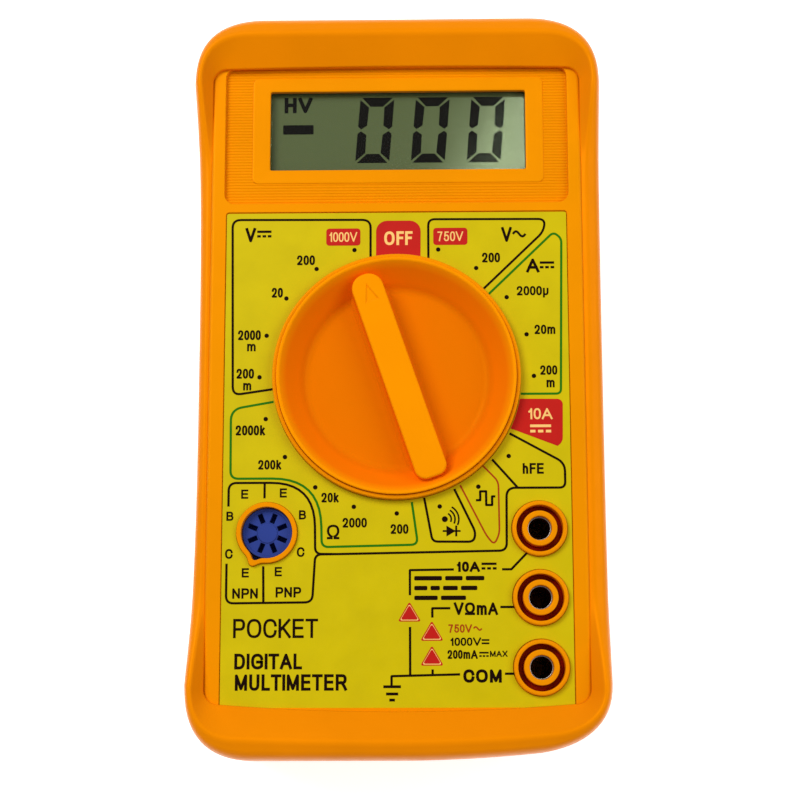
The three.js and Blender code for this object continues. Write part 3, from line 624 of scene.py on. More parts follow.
def oblong_side(half_width, bottom, top, corner, bottom_bow, top_bow):
    """Right half of a rounded oblong with as many points, in the same order, as the outer outline."""
    start = half_width - corner
    lower = bottom + bottom_bow
    upper = top - top_bow
    side = [(start * i / END_STEPS, bottom + bottom_bow * (i / END_STEPS) ** 2)
            for i in range(END_STEPS + 1)]
    side += arc(start, lower + corner, corner, -90, 0, CORNER_STEPS)[1:]
    rise = upper - lower - 2 * corner
    side += [(half_width, lower + corner + rise * i / SIDE_STEPS) for i in range(1, SIDE_STEPS + 1)]
    side += arc(start, upper - corner, corner, 0, 90, CORNER_STEPS)[1:]
    side += [(start * (1 - i / END_STEPS), top - top_bow * (1 - i / END_STEPS) ** 2)
             for i in range(1, END_STEPS + 1)]
    return side


def smooth_step(value, start, end):
    """Rises smoothly from 0 at the start to 1 at the end."""
    share = min(1, max(0, (value - start) / (end - start)))
    return share * share * (3 - 2 * share)


def holster_section(outer, mouth, pocket):
    """One cut through the holster's wall, from the pocket's floor over the lip to the back."""
    end = smooth_step(abs(mouth[1]), 40, 61)

    def blend(side_value, end_value):
        return side_value + (end_value - side_value) * end

    across = Vector(outer) - Vector(mouth)
    ridge = Vector(mouth) + across * blend(0.3, 0.6)
    outward = across.normalized()
    back = Vector(outer) * 0.9
    points = [
        (*pocket, HOLSTER_FLOOR),
        (*pocket, blend(FACE - 1.3, FACE + 0.03)),
        (*mouth, blend(FACE - 0.9, FACE + 0.03)),
        (*mouth, blend(FACE - 0.5, FACE + 0.8)),
        (*ridge, blend(SIDE_LIP_TOP, HOLSTER_TOP + 0.1)),
        (*(Vector(outer) - outward * 0.3), blend(SIDE_LIP_TOP - 0.9, HOLSTER_TOP - 1.2)),
        (*outer, 20),
        (*outer, 0),
        (*back, 0),
    ]
    return soften(points, [0.2, 0.1, 0.3, blend(0.5, 0.9), blend(1.5, 3.4), 3, 3], 6)


def holster_skin():
    skin = Skin()
    outers = closed_outline(holster_side(RIGHT_WAIST, 39.5, 39.5, 1.4),
                            holster_side(LEFT_WAIST, 39.1, 39.1))
    mouth = oblong_side(MOUTH_HALF_WIDTH, MOUTH_BOTTOM, MOUTH_TOP, MOUTH_CORNER, 1.3, 0.35)
    pocket_end = CASE_HALF_LENGTH + 0.3
    pocket = oblong_side(CASE_HALF_WIDTH + 0.03, -pocket_end, pocket_end, CASE_CORNER, 0, 0)
    mouths = closed_outline(mouth, mouth)
    pockets = closed_outline(pocket, pocket)
    sections = [holster_section(*trio) for trio in zip(outers, mouths, pockets)]
    rings = [skin.ring(row) for row in zip(*sections)]
    skin.loft(rings)
    wall = skin.sweep(rounded_rect(*STAND_WELL),
                      [(0.6, 0), (0, 0), (0, HOLSTER_FLOOR), (0.6, HOLSTER_FLOOR)], [0.35, 0.2])
    skin.fill(rings[-1], [wall[0]])
    skin.fill(rings[0], [wall[-1]])
    return skin


piece("holster_boot", holster_skin(), "holster_rubber", ["holster"], sharp=40)


def stand_skin():
    """Fold-out stand: a plate with a nail notch, two sunk panels and a rolled hinge edge."""
    skin = Skin()
    left, near, bottom = low("tilt_stand")
    top = high("tilt_stand")[2]
    hinge_y = 35
    half = 17
    notch = arc(0, near - 5.8, 8, 133, 47, 16)
    outline = [(half, near + 1), (half, hinge_y), (-half, hinge_y), (-half, near + 1), (-half + 1, near)]
    outline += notch + [(half - 1, near)]
    rings = skin.sweep(outline, [(-0.8, bottom), (0, bottom), (0, top), (-0.8, top)], [0.4, 0.4])
    panels = []
    for y in (-17.5, 13):
        panel = rounded_rect(25, 24, 2, 0, y)
        sunk = skin.sweep(panel, [(0.4, bottom), (0, bottom), (-0.3, bottom + 0.5), (-0.8, bottom + 0.5)],
                          [0.25, 0.25])
        skin.fill(sunk[-1])
        panels.append(sunk[0])
    skin.fill(rings[0], panels)
    skin.fill(rings[-1])
    turns = [2 * math.pi * i / 24 for i in range(24)]
    for reach, radius in ((half, 0.9), (-left, 0.8)):
        spindle = soften([(0, -reach), (radius, -reach), (radius, reach), (0, reach)], [0.15, 0.15])
        loop = [skin.ring([(x, hinge_y + r * math.cos(turn), (bottom + top) / 2 + r * math.sin(turn))
                           for turn in turns]) for r, x in spindle[1:-1]]
        skin.loft(loop)
        skin.faces += [tuple(loop[0]), tuple(loop[-1])]
    return skin


piece("stand_plate", stand_skin(), "holster_rubber", ["tilt_stand"], "stand")

# ---------- front case


def jack_profile():
    """Rim, groove and inner sleeve around a plug socket, as (radius, z), and the cuts at its corners."""
    rim = FACE + 1.1
    groove = FACE - 3.2
    foot = BOARD_TOP + 0.4
    corners = [(JACK_RADIUS, foot), (JACK_RADIUS, rim), (4.3, rim), (4.3, groove), (3.25, groove),
               (3.25, rim), (2.2, rim), (2.3, foot), (JACK_RADIUS, foot)]
    return corners, [0.35, 0.2, 0.2, 0.2, 0.2, 0.3, 0.1]


def ridges(skin, x0, x1, y0, y1, pitch=0.57, depth=0.13):
    """Strip of fine ridges that run along X."""
    per_ridge = 8
    count = int((y1 - y0) / pitch * per_ridge)
    left, right = [], []
    for i in range(count + 1):
        y = y0 + (y1 - y0) * i / count
        groove = (0.5 + 0.5 * math.cos(2 * math.pi * y / pitch)) ** 3
        z = DISPLAY_FLOOR + 0.05 + depth * (1 - groove)
        left.append((x0, y, z))
        right.append((x1, y, z))
    skin.bridge(skin.ring(left), skin.ring(right), closed=False)


def detent_notch(skin, angle):
    """Groove under the face that a detent ball drops into. Gives the ring of its mouth."""
    radius, depth = 2, 0.55
    half = math.sqrt(radius ** 2 - (radius - depth) ** 2)
    cosine, sine = math.cos(angle), math.sin(angle)
    level = INNER_FACE + depth - radius
    across = [half * (i / 4 - 1) for i in range(9)]
    near, far = [skin.ring([(reach * cosine - q * sine, reach * sine + q * cosine,
                             level + math.sqrt(radius ** 2 - q ** 2)) for q in across])
                 for reach in (DETENT_RADIUS - 1.7, DETENT_RADIUS + 2.8)]
    skin.bridge(near, far, closed=False)
    skin.faces += [tuple(near), tuple(far)]
    return [near[0], near[-1], far[-1], far[0]]


def front_case_skin():
    skin = Skin()
    case = rounded_rect(2 * CASE_HALF_WIDTH, 2 * CASE_HALF_LENGTH, CASE_CORNER, steps=12)
    wall = skin.sweep(case, [(-CASE_WALL, INNER_FACE), (-CASE_WALL, SPLIT), (0, SPLIT), (0, FACE),
                             (-1.5, FACE)], [0.2, 0.3, 1.25], 6)
    ridge_floor = DISPLAY_FLOOR - 0.2
    display_wall = skin.sweep(rounded_rect(*DISPLAY_RECESS),
                              [(0, ridge_floor), (0, FACE), (0.4, FACE)], [0.3])
    label_wall = skin.sweep(rounded_rect(*LABEL_RECESS),
                            [(0, LABEL_FLOOR), (0, FACE), (0.25, FACE)], [0.18])
    skin.fill(wall[-1], [display_wall[-1], label_wall[-1]])

    bore = KNOB_RADIUS + 0.07
    ring_top = FACE + 1.9
    ring = skin.lathe([(RING_RADIUS, LABEL_FLOOR), (RING_RADIUS, ring_top), (bore, ring_top),
                       (bore, INNER_FACE)], [0.3, 0.15], sides=160)
    rim = FACE + 0.75
    collar_outer = skin.sweep(keyed_circle(5.65, 1.15), [(0, LABEL_FLOOR), (0, rim), (-0.35, rim)], [0.3])
    collar_inner = skin.sweep(keyed_circle(4.75, 0.85), [(0.25, rim), (0, rim), (0, INNER_FACE)], [0.2])
    skin.bridge(collar_outer[-1], collar_inner[0])
    jacks_outer = [skin.ring(circle(JACK_RADIUS, x, y), LABEL_FLOOR) for x, y in JACKS]
    skin.fill(label_wall[0], [ring[0], collar_outer[0], *jacks_outer])

    window = rounded_rect(*WINDOW)
    window_frame = rounded_rect(*WINDOW_FRAME)
    skin.fill(display_wall[0], [skin.ring(window, ridge_floor)])
    frame_profile = soften([(0, ridge_floor), (0, DISPLAY_FLOOR + 0.34), (1, DISPLAY_FLOOR + 0.2),
                            (1, INNER_FACE)], [0.12, 0.15])
    frame_rings = []
    for share, z in frame_profile:
        between = [(a[0] + (b[0] - a[0]) * share, a[1] + (b[1] - a[1]) * share)
                   for a, b in zip(window_frame, window)]
        frame_rings.append(skin.ring(between, z))
    skin.loft(frame_rings)
    left, right = DISPLAY_X - FRAME_WIDTH / 2, DISPLAY_X + FRAME_WIDTH / 2
    near, far = DISPLAY_Y - FRAME_LENGTH / 2, DISPLAY_Y + FRAME_LENGTH / 2
    under_frame = 0.3
    ridges(skin, -RIDGE_REACH, RIDGE_REACH, RIDGE_LOW, near + under_frame)
    ridges(skin, -RIDGE_REACH, RIDGE_REACH, far - under_frame, RIDGE_HIGH)
    ridges(skin, -RIDGE_REACH, left + under_frame, near, far)
    ridges(skin, right - under_frame, RIDGE_REACH, near, far)

    jacks_inner = [skin.ring(circle(JACK_RADIUS, x, y), INNER_FACE) for x, y in JACKS]
    notches = [detent_notch(skin, i * DIAL_STEP) for i in range(DIAL_STOPS)]
    skin.fill(wall[0], [ring[-1], collar_inner[-1], frame_rings[-1], *jacks_inner, *notches])
    return skin


def jack_sleeves_skin():
    skin = Skin()
    for x, y in JACKS:
        skin.lathe(*jack_profile(), x, y, 72)
    return skin


piece("front_case_shell", front_case_skin(), "case_plastic", ["front_case"])
piece("jack_sleeves", jack_sleeves_skin(), "jack_plastic", ["front_case"])

# ---------- selector knob


def bar_skin():
    """Pointer bar across the dish, blunt at one end, with a sunk arrow at the other."""
    skin = Skin()
    half, blunt_end, round_end = 3.16, -20.15, 20.7
    blunt, nose, flat = 2.2, 2.95, 0.2
    outline = arc(half - blunt, blunt_end + blunt, blunt, -90, 0, 8)
    outline += arc(flat, round_end - nose, nose, 0, 90, 10)
    outline += arc(-flat, round_end - nose, nose, 90, 180, 10)
    outline += arc(blunt - half, blunt_end + blunt, blunt, 180, 270, 8)
    rings = skin.sweep(outline, [(0.9, KNOB_DISH - 0.1), (0, KNOB_DISH + 0.9), (-0.12, KNOB_TOP - 0.05),
                                 (-1, KNOB_TOP)], [0.7, 0.45], 6)
    arrow = [(1.2, 15.2), (0, 18.5), (-1.2, 15.2)]
    sunk = skin.sweep(arrow, [(0.16, KNOB_TOP), (-0.2, KNOB_TOP - 0.25)])
    skin.fill(sunk[-1])
    skin.fill(rings[-1], [sunk[0]])
    skin.turn(BAR_TURN)
    skin.points = [(x + 0.45, y - 0.3, z) for x, y, z in skin.points]
    return skin


def knob_skin():
    """Dial with its dish and bar, its hub, and a flange with a pocket for each detent ball."""
    skin = Skin()
    bearing, pocket_foot, pocket_floor = BOARD_TOP + 0.5, BOARD_TOP + 0.3, BOARD_TOP + 0.65
    hub = skin.lathe([(0, KNOB_FOOT), (3, KNOB_FOOT), (3, bearing), (5, bearing), (5, FLANGE_BOTTOM),
                      (5.3, FLANGE_BOTTOM)], [0.4, 0.2, 0.3, 0.2], sides=160, steps=6)
    rim = skin.lathe([(FLANGE_RADIUS, FLANGE_BOTTOM), (FLANGE_RADIUS, FLANGE_TOP),
                      (FLANGE_RADIUS - 0.3, FLANGE_TOP)], [0.3], sides=160, steps=6)
    dial = skin.lathe([
        (KNOB_RADIUS + 0.3, FLANGE_TOP), (KNOB_RADIUS, FLANGE_TOP), (KNOB_RADIUS, KNOB_TOP),
        (KNOB_RADIUS - 0.55, KNOB_TOP), (19.3, KNOB_DISH + 2.4), (17.2, KNOB_DISH), (0, KNOB_DISH),
    ], [0.3, 0.25, 0.3, 2.4, 0.9], sides=160, steps=6)
    bosses, bores = [], []
    for x in (-DETENT_RADIUS, DETENT_RADIUS):
        for mouths, radius, top, floor in ((bosses, 1.75, FLANGE_BOTTOM, pocket_foot),
                                           (bores, 1.4, FLANGE_TOP, pocket_floor)):
            mouths.append(skin.lathe([(radius, top), (radius, floor), (0, floor)], cx=x, sides=24)[0])
    skin.fill(rim[0], [hub[-1], *bosses])
    skin.fill(rim[-1], [dial[0], *bores])
    skin.turn(DIAL_STEP)
    skin.add(bar_skin())
    return skin


piece("selector_dial", knob_skin(), "knob_plastic", ["selector_knob"], "knob")

# ---------- face label and its print


def label_skin():
    """Printed film with holes for the dial, the transistor socket and the plug sockets."""
    skin = Skin()
    bottom = low("face_label")[2]
    edge = skin.sweep(rounded_rect(*LABEL_SHEET), [(-0.2, bottom), (0, bottom), (0, LABEL_TOP),
                                                   (-0.2, LABEL_TOP)], [0.02, 0.06], 2, 0.02)
    cuts = [circle(LABEL_HOLE_RADIUS, sides=128), keyed_circle(5.75, 1.15)]
    cuts += [circle(JACK_RADIUS + 0.15, x, y) for x, y in JACKS]
    walls = [skin.sweep(cut, [(0, bottom), (0, LABEL_TOP)]) for cut in cuts]
    skin.fill(edge[0], [wall[0] for wall in walls])
    skin.fill(edge[-1], [wall[-1] for wall in walls])
    return skin


piece("label_sheet", label_skin(), "label_print", ["face_label"])

INK_BOTTOM = LABEL_TOP - 0.01
INK_TOP = LABEL_TOP + 0.03
LINE = 0.42

# Strokes of each character in a unit box, as M (start), L (line) and Q (curve) steps, after its width
# over the height of a capital.
CHARACTERS = {
    "0": (0.64, "M 0 .5 Q 0 0 .5 0 Q 1 0 1 .5 Q 1 1 .5 1 Q 0 1 0 .5"),
    "1": (0.34, "M 0 .72 Q .7 .8 1 1 L 1 0"),
    "2": (0.64, "M 0 .74 Q .03 1 .5 1 Q 1 1 1 .73 Q 1 .5 .5 .25 Q .12 .1 0 0 L 1 0"),
    "5": (0.64, "M .92 1 L .2 1 L .08 .5 Q .3 .64 .5 .64 Q 1 .64 1 .32 Q 1 0 .48 0 Q .05 0 0 .26"),
    "7": (0.62, "M 0 1 L 1 1 Q .5 .5 .36 0"),
    "A": (0.94, "M 0 0 L .5 1 L 1 0 M .18 .33 L .82 .33"),
    "B": (0.78, "M 0 0 L 0 1 L .55 1 Q .92 1 .92 .76 Q .92 .53 .55 .53 L 0 .53 "
                "M .5 .53 Q 1 .53 1 .27 Q 1 0 .55 0 L 0 0"),
    "C": (0.90, "M 1 .7 Q .93 1 .53 1 Q 0 1 0 .5 Q 0 0 .53 0 Q .95 0 1 .32"),
    "D": (0.84, "M 0 0 L 0 1 L .4 1 Q 1 1 1 .5 Q 1 0 .4 0 L 0 0"),
    "E": (0.74, "M 1 1 L 0 1 L 0 0 L 1 0 M 0 .52 L .93 .52"),
    "F": (0.69, "M 1 1 L 0 1 L 0 0 M 0 .52 L .86 .52"),
    "G": (0.94, "M 1 .72 Q .93 1 .53 1 Q 0 1 0 .5 Q 0 0 .53 0 Q .8 0 1 .16 L 1 .46 L .55 .46"),
    "H": (0.79, "M 0 0 L 0 1 M 1 0 L 1 1 M 0 .52 L 1 .52"),
    "I": (0.13, "M .5 0 L .5 1"),
    "K": (0.82, "M 0 0 L 0 1 M .95 1 L 0 .35 M .3 .56 L 1 0"),
    "L": (0.66, "M 0 1 L 0 0 L 1 0"),
    "M": (0.96, "M 0 0 L 0 1 L .5 .04 L 1 1 L 1 0"),
    "N": (0.79, "M 0 0 L 0 1 L 1 0 L 1 1"),
    "O": (0.97, "M 0 .5 Q 0 0 .5 0 Q 1 0 1 .5 Q 1 1 .5 1 Q 0 1 0 .5"),
    "P": (0.79, "M 0 0 L 0 1 L .6 1 Q 1 1 1 .73 Q 1 .45 .6 .45 L 0 .45"),
    "R": (0.88, "M 0 0 L 0 1 L .6 1 Q .96 1 .96 .74 Q .96 .47 .6 .47 L 0 .47 M .5 .47 Q .7 .42 1 0"),
    "T": (0.83, "M 0 1 L 1 1 M .5 1 L .5 0"),
    "U": (0.80, "M 0 1 L 0 .35 Q 0 0 .5 0 Q 1 0 1 .35 L 1 1"),
    "V": (0.93, "M 0 1 L .5 0 L 1 1"),
    "X": (0.86, "M 0 0 L 1 1 M 0 1 L 1 0"),
    "h": (0.60, "M 0 0 L 0 1 M 0 .42 Q .1 .72 .5 .72 Q 1 .72 1 .4 L 1 0"),
    "k": (0.60, "M 0 0 L 0 1 M .9 .72 L 0 .27 M .35 .42 L 1 0"),
    "m": (0.94, "M 0 0 L 0 .74 M 0 .42 Q .06 .74 .27 .74 Q .5 .74 .5 .45 L .5 0 "
                "M .5 .42 Q .56 .74 .77 .74 Q 1 .74 1 .45 L 1 0"),
    "µ": (0.62, "M 0 -.3 L 0 .74 M 0 .3 Q 0 0 .48 0 Q .96 0 1 .3 L 1 .74"),
    "Ω": (0.95, "M 0 0 L .34 0 L .34 .12 Q 0 .3 0 .58 Q 0 1 .5 1 Q 1 1 1 .58 Q 1 .3 .66 .12 L .66 0 L 1 0"),
}
OPEN_RIGHT = "TAVLFPKC0"
OPEN_LEFT = "TAV0C2"


def pen_strokes(path, weight):
    """Splits a polyline at its corners into strokes with square ends.

    Gives the strokes, and the sharpest corners, which get a round joint.
    """
    strokes, joints = [], []
    smooth_turn, sharp_turn = math.radians(50), math.radians(100)
    opening, closing = Vector(path[1]) - Vector(path[0]), Vector(path[-1]) - Vector(path[-2])
    is_loop = path[0] == path[-1] and opening.angle(closing, 0) < smooth_turn
    run, start_reach = [Vector(path[0])], 0 if is_loop else weight / 2
    for here, after in zip(path[1:], path[2:] + [None]):
        run.append(Vector(here))
        turn = math.pi / 2
        if after is not None:
            turn = (run[-1] - run[-2]).angle(Vector(after) - run[-1], 0)
        if turn < smooth_turn:
            continue
        pointed = turn > sharp_turn
        end_reach = 0 if pointed or is_loop else weight / 2
        run[0] = run[0] + (run[0] - run[1]).normalized() * start_reach
        run[-1] = run[-1] + (run[-1] - run[-2]).normalized() * end_reach
        strokes.append([tuple(point) for point in run])
        if pointed:
            joints.append(here)
        run, start_reach = [Vector(here)], end_reach
    return strokes, joints


def character_paths(steps_text):
    """Polylines of a character from its M, L and Q steps."""
    paths = []
    words = steps_text.split()
    while words:
        kind = words.pop(0)
        count = 4 if kind == "Q" else 2
        numbers = [float(word) for word in words[:count]]
        words = words[count:]
        if kind == "M":
            paths.append([tuple(numbers)])
        elif kind == "L":
            paths[-1].append(tuple(numbers))
        else:
            (ax, ay), (bx, by, cx, cy) = paths[-1][-1], numbers
            for i in range(1, 7):
                u, v = i / 6, 1 - i / 6
                paths[-1].append((v * v * ax + 2 * v * u * bx + u * u * cx,
                                  v * v * ay + 2 * v * u * by + u * u * cy))
    return paths


class Print(Skin):
    """Printed shapes: flat plates from a little under a surface to a little over it."""

    def __init__(self, bottom=INK_BOTTOM, top=INK_TOP):
        super().__init__()
        self.bottom = bottom
        self.top = top

    def levels(self, lift=(0, 0)):
        """Bottom and top of the next shape, moved by `lift`.

        The thickness changes a little from one shape to the next, so that overlaps share no face.
        """
        hair = 0.0015 * (len(self.points) % 13)
        return self.bottom + lift[0] - hair, self.top + lift[1] + hair

    def slab(self, outline, lift=(0, 0), holes=()):
        """Plate of an outline, with holes."""
        levels = self.levels(lift)
        loops = [[self.ring(loop, z) for z in levels] for loop in (outline, *holes)]
        for lower, upper in loops:
            self.bridge(lower, upper)
        for first, *others in zip(*loops):
            self.fill(first, others)

    def stroke(self, points, width=LINE, corner=1.2):
        """Line along a polyline, its corners rounded by one cut or by a list of them."""
        flat = [(x, y, 0) for x, y in points]
        if isinstance(corner, list):
            path = soften(flat, corner, 10, 0, 1)
        else:
            path = soften(flat, [corner] * (len(points) - 2), 6, 0)
        path = [path[0]] + [here for before, here in zip(path, path[1:]) if (here - before).length > 0.001]
        left, right = [], []
        for i, here in enumerate(path):
            before = (here - path[max(i - 1, 0)]).normalized()
            after = (path[min(i + 1, len(path) - 1)] - here).normalized()
            along = (before + after).normalized()
            lean = max(0.5, along.dot(after if i == 0 else before))
            across = Vector((-along.y, along.x, 0)) * (width / 2 / lean)
            left.append(here + across)
            right.append(here - across)
        outline = [(point.x, point.y) for point in right + left[::-1]]
        lower, upper = [self.ring(outline, z) for z in self.levels()]
        self.bridge(lower, upper)
        for ring in (lower, upper):
            self.faces += [(ring[i], ring[i + 1], ring[-2 - i], ring[-1 - i]) for i in range(len(path) - 1)]

    def lettering(self, text, x, y, width, height, weight):
        """Text that fills a box of that width and height about (x, y), in strokes of one weight."""
        widths = [CHARACTERS[letter][0] for letter in text]
        gaps = [0.17 - 0.05 * ((a in OPEN_RIGHT) + (b in OPEN_LEFT)) for a, b in zip(text, text[1:])]
        unit = width / (sum(widths) + sum(gaps))
        gaps = [gap * unit for gap in gaps] + [0]
        left = x - width / 2
        for letter, share in zip(text, widths):
            for path in character_paths(CHARACTERS[letter][1]):
                placed = [(left + weight / 2 + u * (share * unit - weight),
                           y - height / 2 + weight / 2 + v * (height - weight)) for u, v in path]
                strokes, joints = pen_strokes(placed, weight)
                for points in strokes:
                    self.stroke(points, weight, 0)
                for joint in joints:
                    self.slab(circle(weight / 2, *joint, 12))
            left += share * unit + gaps.pop(0)

    def bar(self, x, y, length, width=LINE):
        """Line along X with its middle at (x, y)."""
        self.stroke([(x - length / 2, y), (x + length / 2, y)], width, 0)

    def dc_mark(self, x, y, width, height):
        """Direct-current sign: a bar over three dashes."""
        self.bar(x, y + height / 2, width, height / 2)
        for i in (-1, 0, 1):
            self.bar(x + i * width * 0.375, y - height / 2, width / 4, height / 2)

    def wave_mark(self, x, y, width, height):
        """Alternating-current sign."""
        path = [(x + width * (i / 12 - 0.5), y + height / 2 * math.sin(2 * math.pi * i / 12))
                for i in range(13)]
        self.stroke(path, 0.42 * height, 0)


# Each row: text, centre X, centre Y, width, height.
BLACK_TEXT = [
    ("200", -17.2, 22.6, 3.4, 1.9), ("20", -22.6, 16.3, 2.1, 1.9),
    ("2000", -27.8, 8.1, 4.3, 1.9), ("m", -27.4, 5.9, 1.6, 1.8), ("200", -28.5, 0.7, 3.3, 1.9),
    ("m", -28.1, -1.6, 1.5, 1.8), ("200", 18.0, 22.9, 3.4, 1.9),
    ("2000µ", 25.8, 16.4, 6.0, 1.8), ("20m", 28.0, 8.9, 3.9, 1.8),
    ("200", 28.6, 1.1, 3.2, 1.8), ("m", 28.9, -1.3, 1.5, 1.8), ("hFE", 25.4, -17.5, 3.9, 2.0),
    ("2000k", -27.4, -10.1, 5.5, 1.9), ("200k", -23.7, -16.6, 4.3, 1.8), ("20k", -12.4, -22.8, 3.2, 1.8),
    ("2000", -7.8, -27.5, 4.5, 1.8), ("200", 0.5, -28.7, 3.3, 1.8), ("Ω", -11.8, -29.2, 2.3, 2.7),
    ("E", -28.3, -22.1, 1.3, 1.7), ("E", -21.1, -21.9, 1.3, 1.7), ("B", -31.0, -26.2, 1.3, 1.7),
    ("B", -17.5, -26.0, 1.3, 1.7), ("C", -31.1, -33.2, 1.4, 1.8), ("C", -17.8, -32.9, 1.4, 1.8),
    ("E", -28.0, -36.7, 1.3, 1.7), ("E", -21.9, -36.5, 1.3, 1.7), ("NPN", -28.0, -40.5, 4.7, 1.9),
    ("PNP", -20.0, -40.3, 4.7, 1.9), ("1000V", 12.6, -49.4, 5.6, 1.5), ("200mA", 12.0, -51.7, 5.5, 1.6),
    ("MAX", 18.6, -51.6, 3.2, 1.1),
]
# The same, with the weight of the strokes after the height.
BOLD_TEXT = [
    ("V", -27.8, 27.6, 2.0, 2.8, 0.52), ("V", 21.0, 27.4, 2.0, 2.9, 0.5), ("A", 25.9, 21.3, 2.5, 2.7, 0.52),
    ("DIGITAL", -23.6, -52.9, 12.4, 2.85, 0.53), ("MULTIMETER", -19.4, -56.7, 20.5, 2.95, 0.53),
    ("COM", 15.6, -55.6, 7.0, 2.4, 0.54), ("VΩmA", 14.5, -43.4, 8.1, 2.3, 0.45),
    ("10A", 13.2, -35.7, 4.2, 1.9, 0.45), ("POCKET", -22.3, -46.9, 15.6, 3.5, 0.48),
]
# Plain bars in the place of small text, row by row: Y, then the length of each word.
PLAIN_ROWS = ((-37.8, (5.1, 3.2, 3.4)), (-39.6, (2.4, 1.7, 2.7, 3.0)), (-41.4, (4.3, 4.6)))
# Lines around the groups of ranges and the transistor socket, with the cut at their corners.
RANGE_LINES = [
    ([(-4.9, 22.9), (-4.9, 30.45), (-31.3, 30.6), (-30.8, -3.4), (-23.3, -2.3)], 1.6),
    ([(6.1, 22.7), (6.1, 30.5), (28.5, 30.4), (27.9, 27.8), (16.5, 16.8)], [1.3, 1.5, 1.1]),
    ([(21.1, -10.9), (31.3, -16.5), (31.3, -21.1), (20.4, -21.1), (20.3, -32.75), (-11, -33.3)],
     [1.6, 1.1, 1.7, 1.4]),
    ([(17.8, -15.8), (22.5, -21.1)], 0),
    ([(5.1, -22.9), (6.6, -31.05), (14.2, -31.1), (14.6, -29.4), (10.7, -21.3)], 1),
    ([(-31.3, -24.4), (-31.3, -20), (-15.3, -20), (-15.1, -33.25), (-11, -33.3)], [1.5, 8.2, 1.2]),
    ([(-11, -33.3), (-15.1, -33.35), (-15.6, -42.15), (-31.5, -42.3), (-31.5, -35.0)], [1.2, 1.4, 1.4]),
    ([(-24.6, -20.0), (-24.6, -22.9)], 0),
    ([(-24.7, -35.5), (-24.6, -42.1)], 0),
]
# Lines from the plug sockets to their names and limits.
SOCKET_LINES = [
    [(19.7, -55.2), (21.5, -55.2)], [(2.4, -46.7), (2.4, -55.3)],
    [(2.4, -40.9), (2.4, -36.3), (10.5, -36.2)], [(19.4, -36.2), (21.1, -36.2), (24.1, -33.1)],
    [(6.5, -45.0), (6.5, -43.3), (9.8, -43.3)], [(19.0, -43.1), (21.5, -43.1)],
    [(6.5, -54.4), (6.5, -55.2)],
]


def add_earth_sign(ink):
    """Earth sign under its line to the COM socket."""
    ink.stroke([(-1.0, -57.4), (-1.0, -55.6), (11.5, -55.3)], LINE, 0.1)
    for length, y in ((3.2, -57.5), (2.2, -58.8), (1, -59.9)):
        ink.bar(-0.9, y, length, 0.5)


def add_dial_dots(ink):
    """A dot for each stop of the knob, but for the two that have a red field."""
    for i in range(DIAL_STOPS):
        if i in (0, 6):
            continue
        angle = math.pi / 2 - i * DIAL_STEP
        ink.slab(circle(0.42, DIAL_DOT_RADIUS * math.cos(angle), DIAL_DOT_RADIUS * math.sin(angle), 16))


def add_test_signs(ink):
    """Square wave, sounding buzzer and diode beside the test ranges."""
    low_level, middle_level, high_level = -24.3, -23.4, -21.75
    ink.stroke([(14.7, middle_level), (15.5, middle_level), (15.5, high_level), (16.6, high_level),
                (16.6, low_level), (17.7, low_level), (17.7, -22.7), (18.3, -22.7)], LINE, 0.02)
    x, y = 8.9, -26.9
    ink.slab(circle(0.55, x, y, 16))
    for reach in (1.2, 1.9, 2.6):
        ink.stroke(arc(x, y, reach, -25, 60, 8), 0.3, 0)
    diode = -29.1
    ink.stroke([(8.5, diode), (11.8, diode)], 0.32)
    ink.stroke([(11.0, diode + 1), (11.0, diode - 1)], 0.36)
    ink.slab([(9.2, diode - 1), (10.9, diode), (9.2, diode + 1)])


def black_print():
    ink = Print()
    for row in BLACK_TEXT:
        ink.lettering(*row, min(LINE, 0.19 * row[-1]))
    for row in BOLD_TEXT:
        ink.lettering(*row)
    for y, words in PLAIN_ROWS:
        x = 3.2
        for length in words:
            ink.slab(rounded_rect(length, 0.8, 0.2, x + length / 2, y, 2))
            x += length + 0.6
    for mark in ((-25.2, 27.8, 2.7, 0.9), (28.6, 21.4, 2.7, 0.9), (17.0, -35.6, 2.75, 0.85)):
        ink.dc_mark(*mark)
    for y in (-49.1, -49.7):
        ink.bar(16.2, y, 1.4, 0.3)
    ink.dc_mark(15.9, -51.7, 1.7, 0.6)
    ink.wave_mark(23.4, 27.5, 2.4, 1.0)
    for points, corner in RANGE_LINES:
        ink.stroke(points, LINE, corner)
    add_earth_sign(ink)
    for points in SOCKET_LINES:
        ink.stroke(points, LINE, 0.1)
    add_dial_dots(ink)
    add_test_signs(ink)
    return ink


TRIANGLES = [(2.3, -44.0), (6.4, -47.5), (6.4, -52.0)]
HIGH_VOLTS = [("1000V", -10.1, 27.1, 5.3, 1.9), ("750V", 10.3, 27.1, 4.9, 1.9)]


def triangle(x, y, width, height, corner=0.22):
    """Triangle with rounded corners, point up, its box centred on (x, y)."""
    left, right, foot = x - width / 2 + corner, x + width / 2 - corner, y - height / 2 + corner
    return (arc(left, foot, corner, 150, 270, 4) + arc(right, foot, corner, 270, 390, 4)
            + arc(x, y + height / 2 - corner, corner, 30, 150, 4))


